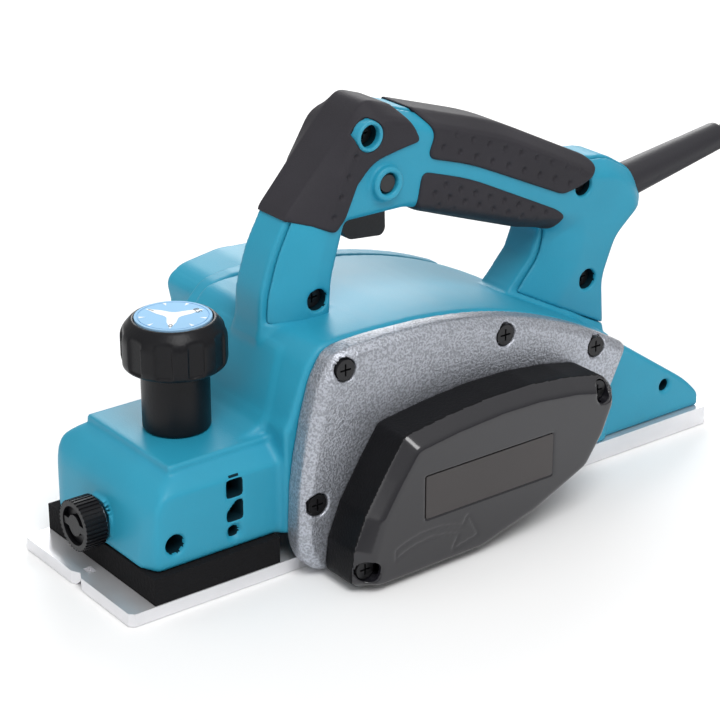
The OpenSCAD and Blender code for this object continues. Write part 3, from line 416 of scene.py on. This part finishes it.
def net_quads(index, inside):
    """A face across each grid edge that the surface crosses."""
    quads = []
    for axis in range(3):
        side = [[slice(1, -1)] * 3, [slice(1, -1)] * 3]
        side[0][axis], side[1][axis] = slice(0, -1), slice(1, None)
        first = inside[tuple(side[0])]
        spots = np.argwhere(first != inside[tuple(side[1])])
        starts = first[tuple(spots.T)]
        spots = spots + 1
        spots[:, axis] -= 1
        u, v = [a for a in range(3) if a != axis]
        ring = []
        for du, dv in ((-1, -1), (0, -1), (0, 0), (-1, 0)):
            shifted = spots.copy()
            shifted[:, u] += du
            shifted[:, v] += dv
            ring.append(index[tuple(shifted.T)])
        faces = np.stack(ring, axis=1)
        turn = starts if axis != 1 else ~starts
        faces[~turn] = faces[~turn][:, ::-1]
        quads.append(faces)
    return np.concatenate(quads)


def settle(points, values, rounds=3):
    """Moves the points onto the surface along the field's slope."""
    top = np.array(values.shape) - 2
    for _ in range(rounds):
        base = np.clip(np.floor(points).astype(int), 0, top)
        t = points - base
        corner = {tuple(c): values[tuple((base + c).T)] for c in CORNERS}
        slope = np.zeros_like(points)
        level = np.zeros(len(points))
        for c, value in corner.items():
            weight = [t[:, a] if c[a] else 1 - t[:, a] for a in range(3)]
            level += value * weight[0] * weight[1] * weight[2]
            for a in range(3):
                others = [weight[o] for o in range(3) if o != a]
                slope[:, a] += value * (1 if c[a] else -1) * others[0] * others[1]
        size = np.maximum((slope ** 2).sum(axis=1), 1e-6)
        move = -(level / size)[:, None] * slope
        length = np.linalg.norm(move, axis=1, keepdims=True)
        points = points + move * np.minimum(1, 0.35 / np.maximum(length, 1e-9))
    return points


def surface_mesh(name, field, values):
    """The zero surface of the values as a smooth-shaded mesh in metres."""
    values = np.array(np.broadcast_to(values, (field.x.size, field.y.size, field.z.size)), np.float32)
    for axis in range(3):
        ends = [slice(None)] * 3
        for end in (0, -1):
            ends[axis] = end
            values[tuple(ends)] = np.maximum(values[tuple(ends)], 0.5 * field.step)
    points, index, inside = net_points(values)
    quads = net_quads(index, inside)
    points = settle(points, values)
    verts = (field.low + points * field.step) * MM
    mesh = bpy.data.meshes.new(name)
    mesh.from_pydata(verts.tolist(), [], quads.tolist())
    mesh.shade_smooth()
    return mesh


def add_piece(name, mesh, body, slot, *stands_for, paint=None):
    piece = bpy.data.objects.new(name, mesh)
    bpy.context.scene.collection.objects.link(piece)
    mesh.materials.append(MATERIALS[paint or slot])
    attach(piece, body)
    if stands_for:
        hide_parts(*stands_for)
    return piece


# ---------------------------------------------------------------- outlines in X and Z

TAIL_Z = hump_z(-88)
BODY = softened([[145, FOAM_TOP, 1.5], [142.5, 41, 5], [136, 51, 5], [127, 54.8, 4], [95, DECK_Z, 7],
                 [82, 61, 6], [77, 75, 3], [72, 87, 3], [66, 94, 4]] + hump_line(56, -88, 16)
                + [[-141, TAIL_Z - 0.68 * 53, 6], [-149.5, 15, 3], [-149.5, BASE_TOP],
                   [22, BASE_TOP], [24, FOAM_TOP]])
BRACKET = softened([[83.4, 13, 7], [82.4, 38], [80.3, 52], [77, 67.4], [72.7, 82.4, 3], [66, 93.6, 5]]
                   + hump_line(56, -88, 16)
                   + [[-90.5, 57, 3], [-80, 35], [-69.6, 17.2], [-64, 10.5, 3], [-50, 6], [-20, 1], [76, 1, 7]])
RIM = softened([[73.3, 4, 3], [71.6, 18], [65.9, 32], [56.5, 47], [46.8, 61, 2], [24, 64.2], [2, 66],
                [-18, 65.8], [-39, 63.5], [-58, 59.5, 4], [-64.5, 51, 3], [-58, 36], [-49, 21, 3], [-19, 8],
                [9, 1], [68, 1, 4]])
PLATE = softened([[67, 7, 2], [66, 17], [61.3, 31], [52.4, 45], [44, 56.6, 2], [24, 59.4], [2, 61],
                  [-18, 60.8], [-38, 58.5], [-55, 54.5, 2], [-58.5, 49, 2], [-53, 36], [-44.5, 24, 2],
                  [-17, 12], [11, 4], [64, 3, 3]])
HANDLE_CORE = softened([[60, 80], [72.3, 88], [71.5, 106, 5], [66.5, 121.5, 5], [58, 137], [26, 171, 5],
                        [20, 176.6, 3], [2, 170.8, 6], [-47, 155.5, 12], [-99, 130, 5], [-112, 128.6, 5],
                        [-128, 119, 6], [-135.6, 103, 5], [-131, 97, 3], [-119.5, 94, 5], [-110.5, 74, 5],
                        [-112.5, 44], [-70, 60]])
HANDLE_SIDE = softened([[50, 80], [58, 89], [54, 103, 5], [47, 126.5, 5], [38, 150], [27, 168, 5],
                        [14, 169.5, 4], [0, 165, 6], [-49, 149, 12], [-98, 124, 5], [-112, 122, 5],
                        [-122, 114, 5], [-126, 104, 4], [-120, 98, 3], [-113, 92, 4], [-106, 74, 5],
                        [-108.5, 44], [-80, 60]])
FINGER_CORE = softened([[42, 70], [42, 94], [41, 108, 4], [34, 131, 2], [5, 130], [-5, 127, 3], [-33, 117],
                        [-60, 107.5, 4], [-76, 103.5, 5], [-70, 90], [-59, 78], [-56, 50]])
FINGER_SIDE = softened([[42.5, 70], [42.5, 94], [41.5, 109, 4], [35, 131, 2], [5, 131], [-5, 129.5, 3],
                        [-33, 120.5], [-60, 112, 4], [-92, 105, 6], [-88.5, 86], [-76, 68], [-76, 50]])
STRUT_ROOM = [[49, 82], [66, 84], [65, 106], [58, 124], [30, 160], [22, 150], [38, 126], [47, 108]]
GRIP_ROOM = [[34, 148], [23, 166], [12, 163], [-50, 144], [-96, 121], [-88, 112.5], [-60, 116],
             [-33, 124.5], [-5, 134.5], [6, 136], [36, 136]]
REAR_ROOM = [[-86, 72], [-94, 86], [-101, 100], [-90, 112], [-96, 121], [-113, 119], [-120, 110],
             [-121, 103], [-110, 95], [-103, 77], [-104, 64], [-96, 62]]
COVER_SPLIT = [[80, 97], [57, 90.5], [36, 90.5], [36, 68], [-50, 66], [-50, 80], [-60, 77], [-115, 49],
               [-115, 30], [80, 30]]
FRONT_PAD = softened([[61, 135], [58, 139], [27, 173.5], [20, 178, 3], [8, 174, 2], [3, 168, 3],
                      [-2, 158, 3], [6, 157, 3], [22, 154, 6], [30, 146], [36, 133, 2], [41, 128, 2],
                      [50, 132]])
UPPER_PAD = softened([[-1, 171.3, 3], [-47, 157, 12], [-98, 132, 3], [-103, 127, 4], [-92, 121, 5],
                      [-80, 119, 3], [-28, 143, 10], [-5, 150, 5], [-10, 160, 5]])
LOWER_PAD = softened([[-3, 145, 4], [-28, 137, 10], [-77, 113, 3], [-82, 109, 3], [-78, 102, 3],
                      [-60, 105.5], [-33, 115], [-5, 125, 3], [0, 130, 3]])
CHUTE = softened([[60, 60, 5], [61, 76], [63, 85, 5], [56, 90.5, 5], [36, 93.5, 3], [14, 92, 5],
                  [10, 62, 5]])
MOTOR_PLATE = softened([[62, 8, 6], [68, 30], [71, 50], [72, 70], [71, 84, 4], [62, 93, 4]]
                       + hump_line(50, -60, 10)
                       + [[-73, 58, 5], [-73, 43], [-70, 16, 6], [-60, BASE_TOP, 2], [20, BASE_TOP]])


# ---------------------------------------------------------------- handle shapes

def facet(field, core, side):
    """Runs from the core outline at the ridge to the side outline at the handle's flank."""
    t = np.clip((np.abs(field.y) - RIDGE_HALF) / (GRIP_HALF - RIDGE_HALF), 0, 1)
    return field.outline(core) * (1 - t) + field.outline(side) * t


def handle_bar(field):
    """The whole handle loop, its chamfered corners and rounded finger gap."""
    outer = facet(field, HANDLE_CORE, HANDLE_SIDE)
    gap = facet(field, FINGER_CORE, FINGER_SIDE)
    flank = np.abs(field.y) - GRIP_HALF
    bar = meet(outer, flank, 3.0)
    return cut(bar, gap, 4.0)


def handle_rooms(field):
    strut = meet(field.outline(STRUT_ROOM), np.abs(field.y) - (RIDGE_HALF - 1))
    rooms = join(join(strut, field.outline(GRIP_ROOM)), field.outline(REAR_ROOM))
    rooms = meet(rooms, np.abs(field.y) - (GRIP_HALF - 3))
    rooms = meet(rooms, handle_bar(field) + 3.2)
    for x, z in HANDLE_SCREWS:
        rooms = cut(rooms, field.bar_y(x, z, 6.2))
    slot = field.box(4, 35.5, -7, RIDGE_HALF + 1, 112, 138)
    return join(rooms, slot)


def paint_hole_shade(mesh, holes, slot="painted_hole_shade"):
    """Painted shade inside holes along Y, near-black where shade falls: each is [x, z, radius, depth where the
    painted shade starts].
    """
    mesh.materials.append(MATERIALS[slot])
    shade_slot = len(mesh.materials) - 1
    for face in mesh.polygons:
        x, y, z = face.center / MM
        for hole_x, hole_z, r, start in holes:
            if y < start and y > 0 and math.hypot(x - hole_x, z - hole_z) < r:
                face.material_index = shade_slot


def make_handle_cover():
    field = Field((-130, 7.5, 48), (76, 23, 180), 0.95)
    shape = handle_bar(field)
    shape = join(shape, field.bar_y(LOCK_AT[0], LOCK_AT[1], 7.2, 10, GRIP_HALF + 3.4), 1.2)
    shape = join(shape, field.bar_y(*RING_AT, 6.2, 13.5, GRIP_HALF + 1.6), 1.2)
    shape = cut(shape, field.outline(COVER_SPLIT), 0.8)
    shape = meet(shape, RIDGE_HALF + 0.4 - field.y, 1.2)
    shape = cut(shape, handle_rooms(field))
    for x, z in HANDLE_SCREWS:
        shape = cut(shape, field.bar_y(x, z, 4.7, GRIP_HALF - 6.6), 0.6)
    shape = cut(shape, field.bar_y(LOCK_AT[0], LOCK_AT[1], 4.6, 10, 99), 0.6)
    mesh = surface_mesh("handle_left_cover_shell", field, shape)
    add_piece("handle_left_cover_shell", mesh, "body", "teal_housing", "handle_left_cover")
    # painted shade inside the handle screw holes
    paint_hole_shade(mesh, [[x, z, 5.0, GRIP_HALF - 1.2] for x, z in HANDLE_SCREWS])


def block_shape(field):
    """Front block and tail: narrower than the hump, with bevelled shoulders."""
    plan = field.plan([[145, -29], [145, 29], [140.5, BLOCK_HALF], [-151, BLOCK_HALF], [-151, -BLOCK_HALF],
                       [140.5, -BLOCK_HALF]])
    shoulder = field.cross([[-BLOCK_HALF, 0], [BLOCK_HALF, 0], [BLOCK_HALF, 47.5], [27.5, DECK_Z + 0.2],
                            [20, 100], [-20, 100], [-27.5, DECK_Z + 0.2], [-BLOCK_HALF, 47.5]])
    front = meet(meet(field.outline(BODY), plan, 2.5), shoulder, 3.0)
    platform = meet(field.box(80, 130, -30.5, 30.5, 30, 99), field.z - DECK_Z, 0.8)
    front = join(front, platform, 0.5)
    front = meet(front, 72 - field.x)
    tail = meet(meet(field.outline(BODY), plan, 2.5), field.x + 86)
    return join(front, tail)


def hump_shape(field):
    hump = meet(field.outline(BODY), np.abs(field.y) - SOLE_HALF, 2.5)
    return meet(hump, np.maximum(-90 - field.x, field.x - 83), 1.5)


def cut_front_block(field, shape):
    """Recesses, cross bore and the seats of the knob and the clamp screw."""
    shape = cut(shape, field.box(101.5, 108.5, 20, 60, 39.5, 47), 0.8)
    shape = cut(shape, meet(field.outline([[101.5, 29.5], [108.5, 29.5], [108.5, 33], [104, 37.5], [101.5, 37.5]]),
                            20 - field.y), 0.8)
    shape = cut(shape, field.bar_y(105.5, 24.3, 3.4, BLOCK_HALF - 2, 60), 0.6)
    shape = cut(shape, field.bar_y(105.5, 24.3, 2.2, BLOCK_HALF - 9, 60), 0.4)
    shape = cut(shape, field.bar_y(ROD_X, ROD_Z, ROD_R), 1.8)
    shape = join(shape, field.bar_x(0, ROD_Z, 9.8, 140, 144.9), 0.8)
    shape = cut(shape, field.bar_x(0, ROD_Z, 8.7, 142.8, 160))
    shape = cut(shape, field.bar_x(0, ROD_Z, 2.6, ROD_X, 160))
    shape = cut(shape, field.bar_z(KNOB_X, 0, 9.1, 30, 60), 0.6)
    shape = cut(shape, field.bar_z(KNOB_X, 0, 13, 10, DECK_Z - 4.7))
    for side in (-1, 1):
        shape = cut(shape, field.bar_z(98, side * 27, 4.1, 10, 40))
    return shape


def cut_drive_rooms(field, shape):
    shape = cut(shape, field.bar_y(DRUM_X, CUT_R, MOUTH_R))
    shape = cut(shape, field.box(DRUM_X - 20, DRUM_X + 20, -50, 50, -1, 12))
    shape = cut(shape, field.box(26, 62, -50, 30, 40, 84))
    shape = cut(shape, field.bar_y(MOTOR_X, MOTOR_Z, 32, -60, 35))
    return cut(shape, field.bar_y(MOTOR_X, MOTOR_Z, 17, 34, 60))


def make_main_housing():
    field = Field((-152, -43, 7), (147, 43, 179), 1.15)
    shape = join(block_shape(field), hump_shape(field), 3.0)
    body = shape
    bar = handle_bar(field)
    left_part = meet(bar, np.maximum(RIDGE_HALF - 1 - field.y, field.outline(COVER_SPLIT) + 0.3), 0.8)
    right_part = meet(bar, field.y - RIDGE_HALF, 0.9)
    shape = join(shape, join(right_part, left_part), 5.0)
    shape = cut_front_block(field, shape)
    # Round hole in the tail's left wall
    shape = cut(shape, field.bar_y(-127, 24.5, 3, BLOCK_HALF - 8, 60), 0.6)
    shape = cut(shape, cut(handle_rooms(field), body - 1.0))
    shape = cut_drive_rooms(field, shape)
    shape = cut(shape, guard_distance(field))
    mesh = surface_mesh("main_housing_shell", field, shape)
    add_piece("main_housing_shell", mesh, "body", "teal_housing", "main_housing")
    left = BLOCK_HALF - 1.2
    # painted shade inside the rod bore, the recess windows, the clamp screw seat and the tail hole
    paint_hole_shade(mesh, [[ROD_X, ROD_Z, ROD_R + 0.8, left - 1], [105, 43.3, 5.4, left], [105, 33.5, 5.4, left],
                        [105.5, 24.3, 2.6, left - 1], [-127, 24.5, 3.2, left]])


def guard_distance(field, r=7.2):
    """The hole for the cord guard along its tilted axis."""
    direction = np.array([math.cos(GUARD_TILT), 0, -math.sin(GUARD_TILT)])
    dx, dy, dz = field.x - GUARD_END[0], field.y, field.z - GUARD_END[2]
    along = dx * direction[0] + dz * direction[2]
    across = np.sqrt(dy ** 2 + (dx - along * direction[0]) ** 2 + (dz - along * direction[2]) ** 2)
    return np.maximum(across - r, along - 80)


# ---------------------------------------------------------------- soft grips

def dimples(field, shape, rows, first, last, pitch, apart):
    """Staggered rows of small round dimples on both flanks."""
    start, end = np.array(first, float), np.array(last, float)
    length = np.linalg.norm(end - start)
    along = (end - start) / length
    down = np.array([along[1], -along[0]]) * (-1 if along[0] < 0 else 1)
    for row in range(rows):
        shift = pitch / 2 if row % 2 else 0
        for k in range(int((length - shift) / pitch) + 1):
            at = start + along * (shift + k * pitch) + down * row * apart
            for side in (-1, 1):
                shape = cut(shape, field.ball(at[0], side * (GRIP_HALF + PAD_PROUD + 0.3), at[1], 1.35), 0.3)
    return shape


def make_grip(name, outline, low, high, rows, first, last, pitch, apart, keep_bosses=True):
    field = Field(low, high, 0.62)
    bar = handle_bar(field)
    shape = meet(meet(bar - PAD_PROUD, field.outline(outline), 1.6), -(bar + 0.9))
    if keep_bosses:
        shape = cut(shape, field.bar_y(LOCK_AT[0], LOCK_AT[1], 7.5, 0, 60), 0.6)
        shape = cut(shape, field.bar_y(*RING_AT, 6.4, 13, 60), 0.6)
    shape = dimples(field, shape, rows, first, last, pitch, apart)
    mesh = surface_mesh(name + "_pad", field, shape)
    add_piece(name + "_pad", mesh, "body", "soft_grip", name)


def make_grips():
    make_grip("front_grip", FRONT_PAD, (-6, -20.5, 124), (72, 20.5, 181), 1, (31, 158), (43, 133), 8.5, 6)
    make_grip("upper_grip", UPPER_PAD, (-108, -20.5, 114), (4, 20.5, 175), 2, (-90, 128), (-12, 161), 9.5, 6.5)
    make_grip("lower_grip", LOWER_PAD, (-86, -20.5, 98), (5, 20.5, 148), 3, (-70, 113.5),
              (-10, 139), 8.6, 4.5, False)


# ---------------------------------------------------------------- side bracket, belt cover, motor housing

def make_bracket():
    field = Field((-93, 40, -2), (86, 54.5, 98), 0.95)
    edge = field.outline(BRACKET)
    shape = meet(edge, field.between_y(SOLE_HALF + 0.1, FACE_Y), 1.4)
    shape = meet(shape, (edge + field.y - FACE_Y + 3.4) * 0.707, 0.8)
    shape = cut(shape, meet(edge + 4, field.y - (FACE_Y - 3)))
    for x, z in BRACKET_SCREWS:
        shape = join(shape, field.bar_y(x, z, 5.5, SOLE_HALF + 0.1, FACE_Y - 1))
        shape = cut(shape, field.bar_y(x, z, 4.9, FACE_Y - 3, 99), 0.8)
    shape = join(shape, field.bar_y(DRUM_X, CUT_R, 18, SOLE_HALF + 0.3, FACE_Y - 1))
    shape = join(shape, field.bar_y(MOTOR_X, MOTOR_Z, 16.6, SOLE_HALF + 0.3, FACE_Y - 1))
    for x, z, seat, hole in ((DRUM_X, CUT_R, 14.05, 9), (MOTOR_X, MOTOR_Z, 13.05, 8)):
        shape = cut(shape, field.bar_y(x, z, seat, 0, FACE_Y - 2))
        shape = cut(shape, field.bar_y(x, z, hole, 0, 99))
    mesh = surface_mesh("side_bracket_casting", field, shape)
    add_piece("side_bracket_casting", mesh, "body", "hammered_alloy", "side_bracket")


def arrow_mark(field):
    """A raised band that shows the drum's turning direction."""
    band = np.abs(np.sqrt((field.x - 38) ** 2 + (field.z + 22) ** 2) - 40) - 1.3
    band = np.maximum(band, np.abs(field.x - 38) - 17)
    head = field.outline([[19, 20], [26, 8], [14, 10.5]])
    return join(band, head)


def make_belt_cover():
    field = Field((-67, 51.5, -1), (75.5, 78, 68), 0.8)
    rim, plate = field.outline(RIM), field.outline(PLATE)
    t = np.clip((field.y - RIM_Y) / (SIDE_REACH - RIM_Y), 0, 1)
    outer = rim * (1 - t) + plate * t
    step = meet(rim, field.between_y(FACE_Y + 0.1, RIM_Y), 1.2)
    face = meet(outer * 0.9, field.between_y(RIM_Y - 2, SIDE_REACH), 1.4)
    shape = join(step, face)
    inner = meet(rim + 3, field.between_y(0, RIM_Y - 3))
    inner = join(inner, meet(plate + 3.2, field.between_y(RIM_Y - 4, SIDE_REACH - 3)))
    shape = cut(shape, inner)
    for x, z in COVER_SCREWS:
        shape = join(shape, meet(field.bar_y(x, z, 6.5, FACE_Y + 12.1, RIM_Y), rim))
        shape = cut(shape, field.bar_y(x, z, 4.5, RIM_Y - 1, 99), 0.6)
    shape = cut(shape, field.box(-26, 41, SIDE_REACH - 0.9, 99, 25, 44.3), 0.5)
    raised = meet(arrow_mark(field), field.between_y(SIDE_REACH - 1, SIDE_REACH - 0.02))
    groove = meet(arrow_mark(field) - 1.0, field.between_y(SIDE_REACH - 0.35, 99))
    shape = join(cut(shape, groove, 0.4), raised)
    mesh = surface_mesh("belt_cover_shell", field, shape)
    add_piece("belt_cover_shell", mesh, "body", "gloss_cover", "belt_cover")
    paint_collar(mesh)


def paint_collar(mesh):
    """The collar behind the face plate has a spark-eroded texture."""
    mesh.materials.append(MATERIALS["textured_cover"])
    for face in mesh.polygons:
        if face.center.y < (RIM_Y + 0.2) * MM:
            face.material_index = 1


def make_motor_housing():
    field = Field((-75, -78, 7), (74, -40, 97), 1.0)
    plate = meet(field.outline(MOTOR_PLATE), field.between_y(FLANGE_Y, -SOLE_HALF - 0.1), 2.0)
    chute = meet(field.outline(CHUTE), field.between_y(-SIDE_REACH, FLANGE_Y + 2), 2.5)
    away = np.sqrt((field.x - MOTOR_X) ** 2 + (field.z - MOTOR_Z) ** 2)
    depth = FLANGE_Y + 1 - field.y
    end = SIDE_REACH - 49
    bulge = polygon_distance([[-60, 0], [34.5, 0], [34.5, 20], [31, 25.5], [24, end], [-60, end]], away, depth)
    shape = join(join(plate, bulge, 3.5), chute, 3.0)
    # Boss over the drum's right bearing
    shape = join(shape, field.bar_y(DRUM_X, CUT_R, 16.5, FLANGE_Y - 1.6, -44), 1.0)
    room = field.bar_y(MOTOR_X, MOTOR_Z, 31.5, -70.5, 0)
    seat = field.bar_y(MOTOR_X, MOTOR_Z, 13.5, -75.5, -66)
    shape = join(cut(shape, room), seat)
    shape = cut(shape, field.bar_y(MOTOR_X, MOTOR_Z, 11.05, -73.05, 0))
    shape = cut(shape, field.box(16, 57, -99, -46, 64.5, 87.5), 1.5)
    shape = cut(shape, field.box(27, 55, -46.5, -30, 41, 85))
    shape = cut(shape, field.bar_y(DRUM_X, CUT_R, 14.05, -49, 0))
    for side in (-1, 1):
        cap_bore = meet(field.bar_x(-53, MOTOR_Z, 6.6), np.abs(field.x - MOTOR_X - side * 18) - 18)
        shape = cut(shape, cap_bore, 0.4)
        for k in range(-2, 3):
            slot_x = MOTOR_X + side * 21
            slot_z = MOTOR_Z + k * 6
            shape = cut(shape, field.box(slot_x - 6, slot_x + 6, -80, -69, slot_z - 1.4, slot_z + 1.4), 0.5)
    mesh = surface_mesh("motor_housing_shell", field, shape)
    add_piece("motor_housing_shell", mesh, "body", "teal_housing", "motor_housing")


# ---------------------------------------------------------------- depth knob and dial

KNOB_R = 21.2
KNOB_Z = 82.8
KNOB_TOP = 103.7
SKIRT_R = 13.75
KNOB_POCKETS = 10
DIAL_TURN = 52
NUMBERS_R = 10.4


def make_knob():
    """A deep moulded cap with finger pockets round its side, on a plain skirt."""
    field = Field((KNOB_X - 22, -22, DECK_Z - 1), (KNOB_X + 22, 22, KNOB_TOP + 1), 0.55)
    away = np.sqrt((field.x - KNOB_X) ** 2 + field.y ** 2)
    profile = softened([[-30, DECK_Z + 0.3], [SKIRT_R, DECK_Z + 0.3, 1], [SKIRT_R, KNOB_Z - 1, 1],
                        [17.5, KNOB_Z, 1], [KNOB_R - 0.6, KNOB_Z + 1, 1.5], [KNOB_R, KNOB_Z + 4],
                        [KNOB_R, KNOB_TOP - 5.5, 3], [17.2, KNOB_TOP - 0.9, 1.5],
                        [15.9, KNOB_TOP - 0.2, 0.4], [15.5, KNOB_TOP - 1.5], [-30, KNOB_TOP - 1.5]])
    shape = polygon_distance(profile, away, field.z)
    for k in range(KNOB_POCKETS):
        angle = math.radians(k * 360 / KNOB_POCKETS + 10)
        out = (field.x - KNOB_X) * math.cos(angle) + field.y * math.sin(angle)
        side = field.y * math.cos(angle) - (field.x - KNOB_X) * math.sin(angle)
        pocket = meet(np.abs(side) - 3.3, np.abs(field.z - 92.5) - 7.5, 1.0)
        shape = cut(shape, meet(pocket, KNOB_R - 1.3 - out, 0.4), 0.5)
    shape = cut(shape, field.bar_z(KNOB_X, 0, 9.05, 0, KNOB_TOP - 3))
    mesh = surface_mesh("depth_knob_cap", field, shape)
    add_piece("depth_knob_cap", mesh, "depth_knob", "knob_plastic", "depth_knob")


def flat_shape(name, outline, z, thick, paint):
    """A thin printed shape on the dial; the outline is in X and Y round the knob's axis."""
    mesh = bpy.data.meshes.new(name)
    form = bmesh.new()
    verts = [form.verts.new(((KNOB_X + x) * MM, y * MM, z * MM)) for x, y in outline]
    face = form.faces.new(verts)
    lifted = bmesh.ops.extrude_face_region(form, geom=[face])
    moved = [v for v in lifted["geom"] if isinstance(v, bmesh.types.BMVert)]
    bmesh.ops.translate(form, verts=moved, vec=(0, 0, thick * MM))
    bmesh.ops.recalc_face_normals(form, faces=form.faces)
    form.to_mesh(mesh)
    form.free()
    return add_piece(name, mesh, "depth_knob", "dial_blue", paint=paint)


def star_outline(reach, waist, turn, arms=3, steps=8):
    """Arms that run out to points, with hollow sides between them."""
    outline = []
    for arm in range(arms):
        a0 = turn + 2 * math.pi * arm / arms
        for k in range(steps):
            t = k / steps
            r = waist + (reach - waist) * (2 * abs(t - 0.5)) ** 3.2
            angle = a0 + 2 * math.pi / arms * t
            outline.append((r * math.cos(angle), r * math.sin(angle)))
    return outline


def make_dial():
    level = KNOB_TOP + 0.01
    flat_shape("dial_star", star_outline(13.4, 3.2, math.radians(DIAL_TURN)), level, 0.06, "dial_white")
    for k in range(9):
        if k % 3 == 0:
            continue
        angle = math.radians(DIAL_TURN + 40 * k)
        out = np.array([math.cos(angle), math.sin(angle)])
        side = np.array([-math.sin(angle), math.cos(angle)])
        tick = [out * 13.4 + side * 0.7, out * 10.8, out * 13.4 - side * 0.7]
        flat_shape(f"dial_tick_{k}", [tuple(p) for p in tick], level, 0.06, "dial_white")
    for k, words in enumerate(("0", "0.5", "1")):
        angle = math.radians(DIAL_TURN + 120 * k)
        data = bpy.data.curves.new(f"dial_number_{k}", "FONT")
        data.body = words
        data.size = 3.6 * MM
        data.extrude = 0.04 * MM
        data.align_x = "CENTER"
        data.align_y = "CENTER"
        number = bpy.data.objects.new(f"dial_number_{k}", data)
        across = KNOB_X + NUMBERS_R * math.cos(angle)
        number.location = (across * MM, NUMBERS_R * math.sin(angle) * MM, (level + 0.1) * MM)
        number.rotation_euler = (0, 0, angle - math.pi / 2)
        bpy.context.scene.collection.objects.link(number)
        data.materials.append(MATERIALS["black_plastic"])
        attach(number, "depth_knob")


# ---------------------------------------------------------------- mains lead

LEAD = [(-190, 0, 120), (-200, 0, 121.4), (-210, -0.5, 120.8), (-220, -1, 117.6), (-229, -2, 112),
        (-236, -3.5, 104), (-241, -5, 94), (-245, -7, 83), (-248, -8.5, 72), (-251, -9.5, 61),
        (-254, -10, 50.5), (-258, -10.5, 41), (-264, -11, 33), (-272, -11.5, 27.5), (-281, -11, 24.5)]
TAIL = [(-259, -16.8, 4.1), (-268, -22, 4.6), (-277, -27.2, 5.6), (-286, -32.4, 6.6), (-291, -35.3, 7)]
TURNS = [(44, 17.9), (48, 10.95), (40, 10.95), (36, 4.03), (44, 4.03), (52, 4.03)]


def coil_points():
    """Down through the coil, from its top turn to the turn that leaves for the plug."""
    start, total, per_turn = math.radians(-97), math.radians(2124), 22
    count = int(total / (2 * math.pi) * per_turn)
    levels = [(45.4, 24.5)] + TURNS
    points = []
    for i in range(1, count + 1):
        turned = total * i / count
        turn = min(int(turned / (2 * math.pi)), len(TURNS) - 1)
        t = min((turned - turn * 2 * math.pi) / math.radians(70), 1)
        t = t * t * (3 - 2 * t)
        r = levels[turn][0] * (1 - t) + levels[turn + 1][0] * t
        z = levels[turn][1] * (1 - t) + levels[turn + 1][1] * t
        angle = start - turned
        points.append((COIL_AT[0] + r * math.cos(angle), COIL_AT[1] + r * math.sin(angle), z))
    return points


def make_cord():
    route = np.array(LEAD + coil_points() + TAIL)
    curve = bpy.data.curves.new("mains_lead", "CURVE")
    curve.dimensions = "3D"
    curve.bevel_depth = CORD_D / 2 * MM
    curve.bevel_resolution = 5
    curve.use_fill_caps = True
    spline = curve.splines.new("POLY")
    spline.points.add(len(route) - 1)
    for point, place in zip(spline.points, route * MM):
        point.co = (*place, 1)
    spline.use_smooth = True
    cord = bpy.data.objects.new("mains_lead", curve)
    bpy.context.scene.collection.objects.link(cord)
    curve.materials.append(MATERIALS["cord_rubber"])
    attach(cord, "body")
    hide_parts("power_cord", "cord_coil", "cord_tail")


# ---------------------------------------------------------------- carried-over CAD nodes

BEVELS = {"depth_knob": 0.5, "depth_dial": 0.25, "front_shoe": 0.35, "rear_base": 0.35, "front_foam_seal": 0.5,
          "guide_clamp_screw": 0.3, "trigger": 0.8, "lock_button": 0.5, "cord_guard": 0.3, "plug_body": 0.8,
          "cover_badge": 0.15, "cord_tie": 0.4, "brush_caps": 0.5, "clamp_washer": 0.2, "plug_pins": 0.6}


def dress_nodes():
    """Each CAD node that still shows gets its material and, where it is seen, softened edges."""
    for name, piece in NODES.items():
        paint = MATERIALS[SLOT_OF[name]]
        if not piece.material_slots:
            piece.data.materials.append(paint)
        for slot in piece.material_slots:
            slot.material = paint
        if name in BEVELS:
            bevel = piece.modifiers.new("bevel", "BEVEL")
            bevel.width = BEVELS[name] * MM
            bevel.segments = 3
            bevel.limit_method = "ANGLE"
            bevel.angle_limit = math.radians(40)
            bevel.harden_normals = False


make_camera()
make_studio()
dress_nodes()
make_cord()
make_main_housing()
make_handle_cover()
make_grips()
make_bracket()
make_belt_cover()
make_motor_housing()
make_knob()
make_dial()
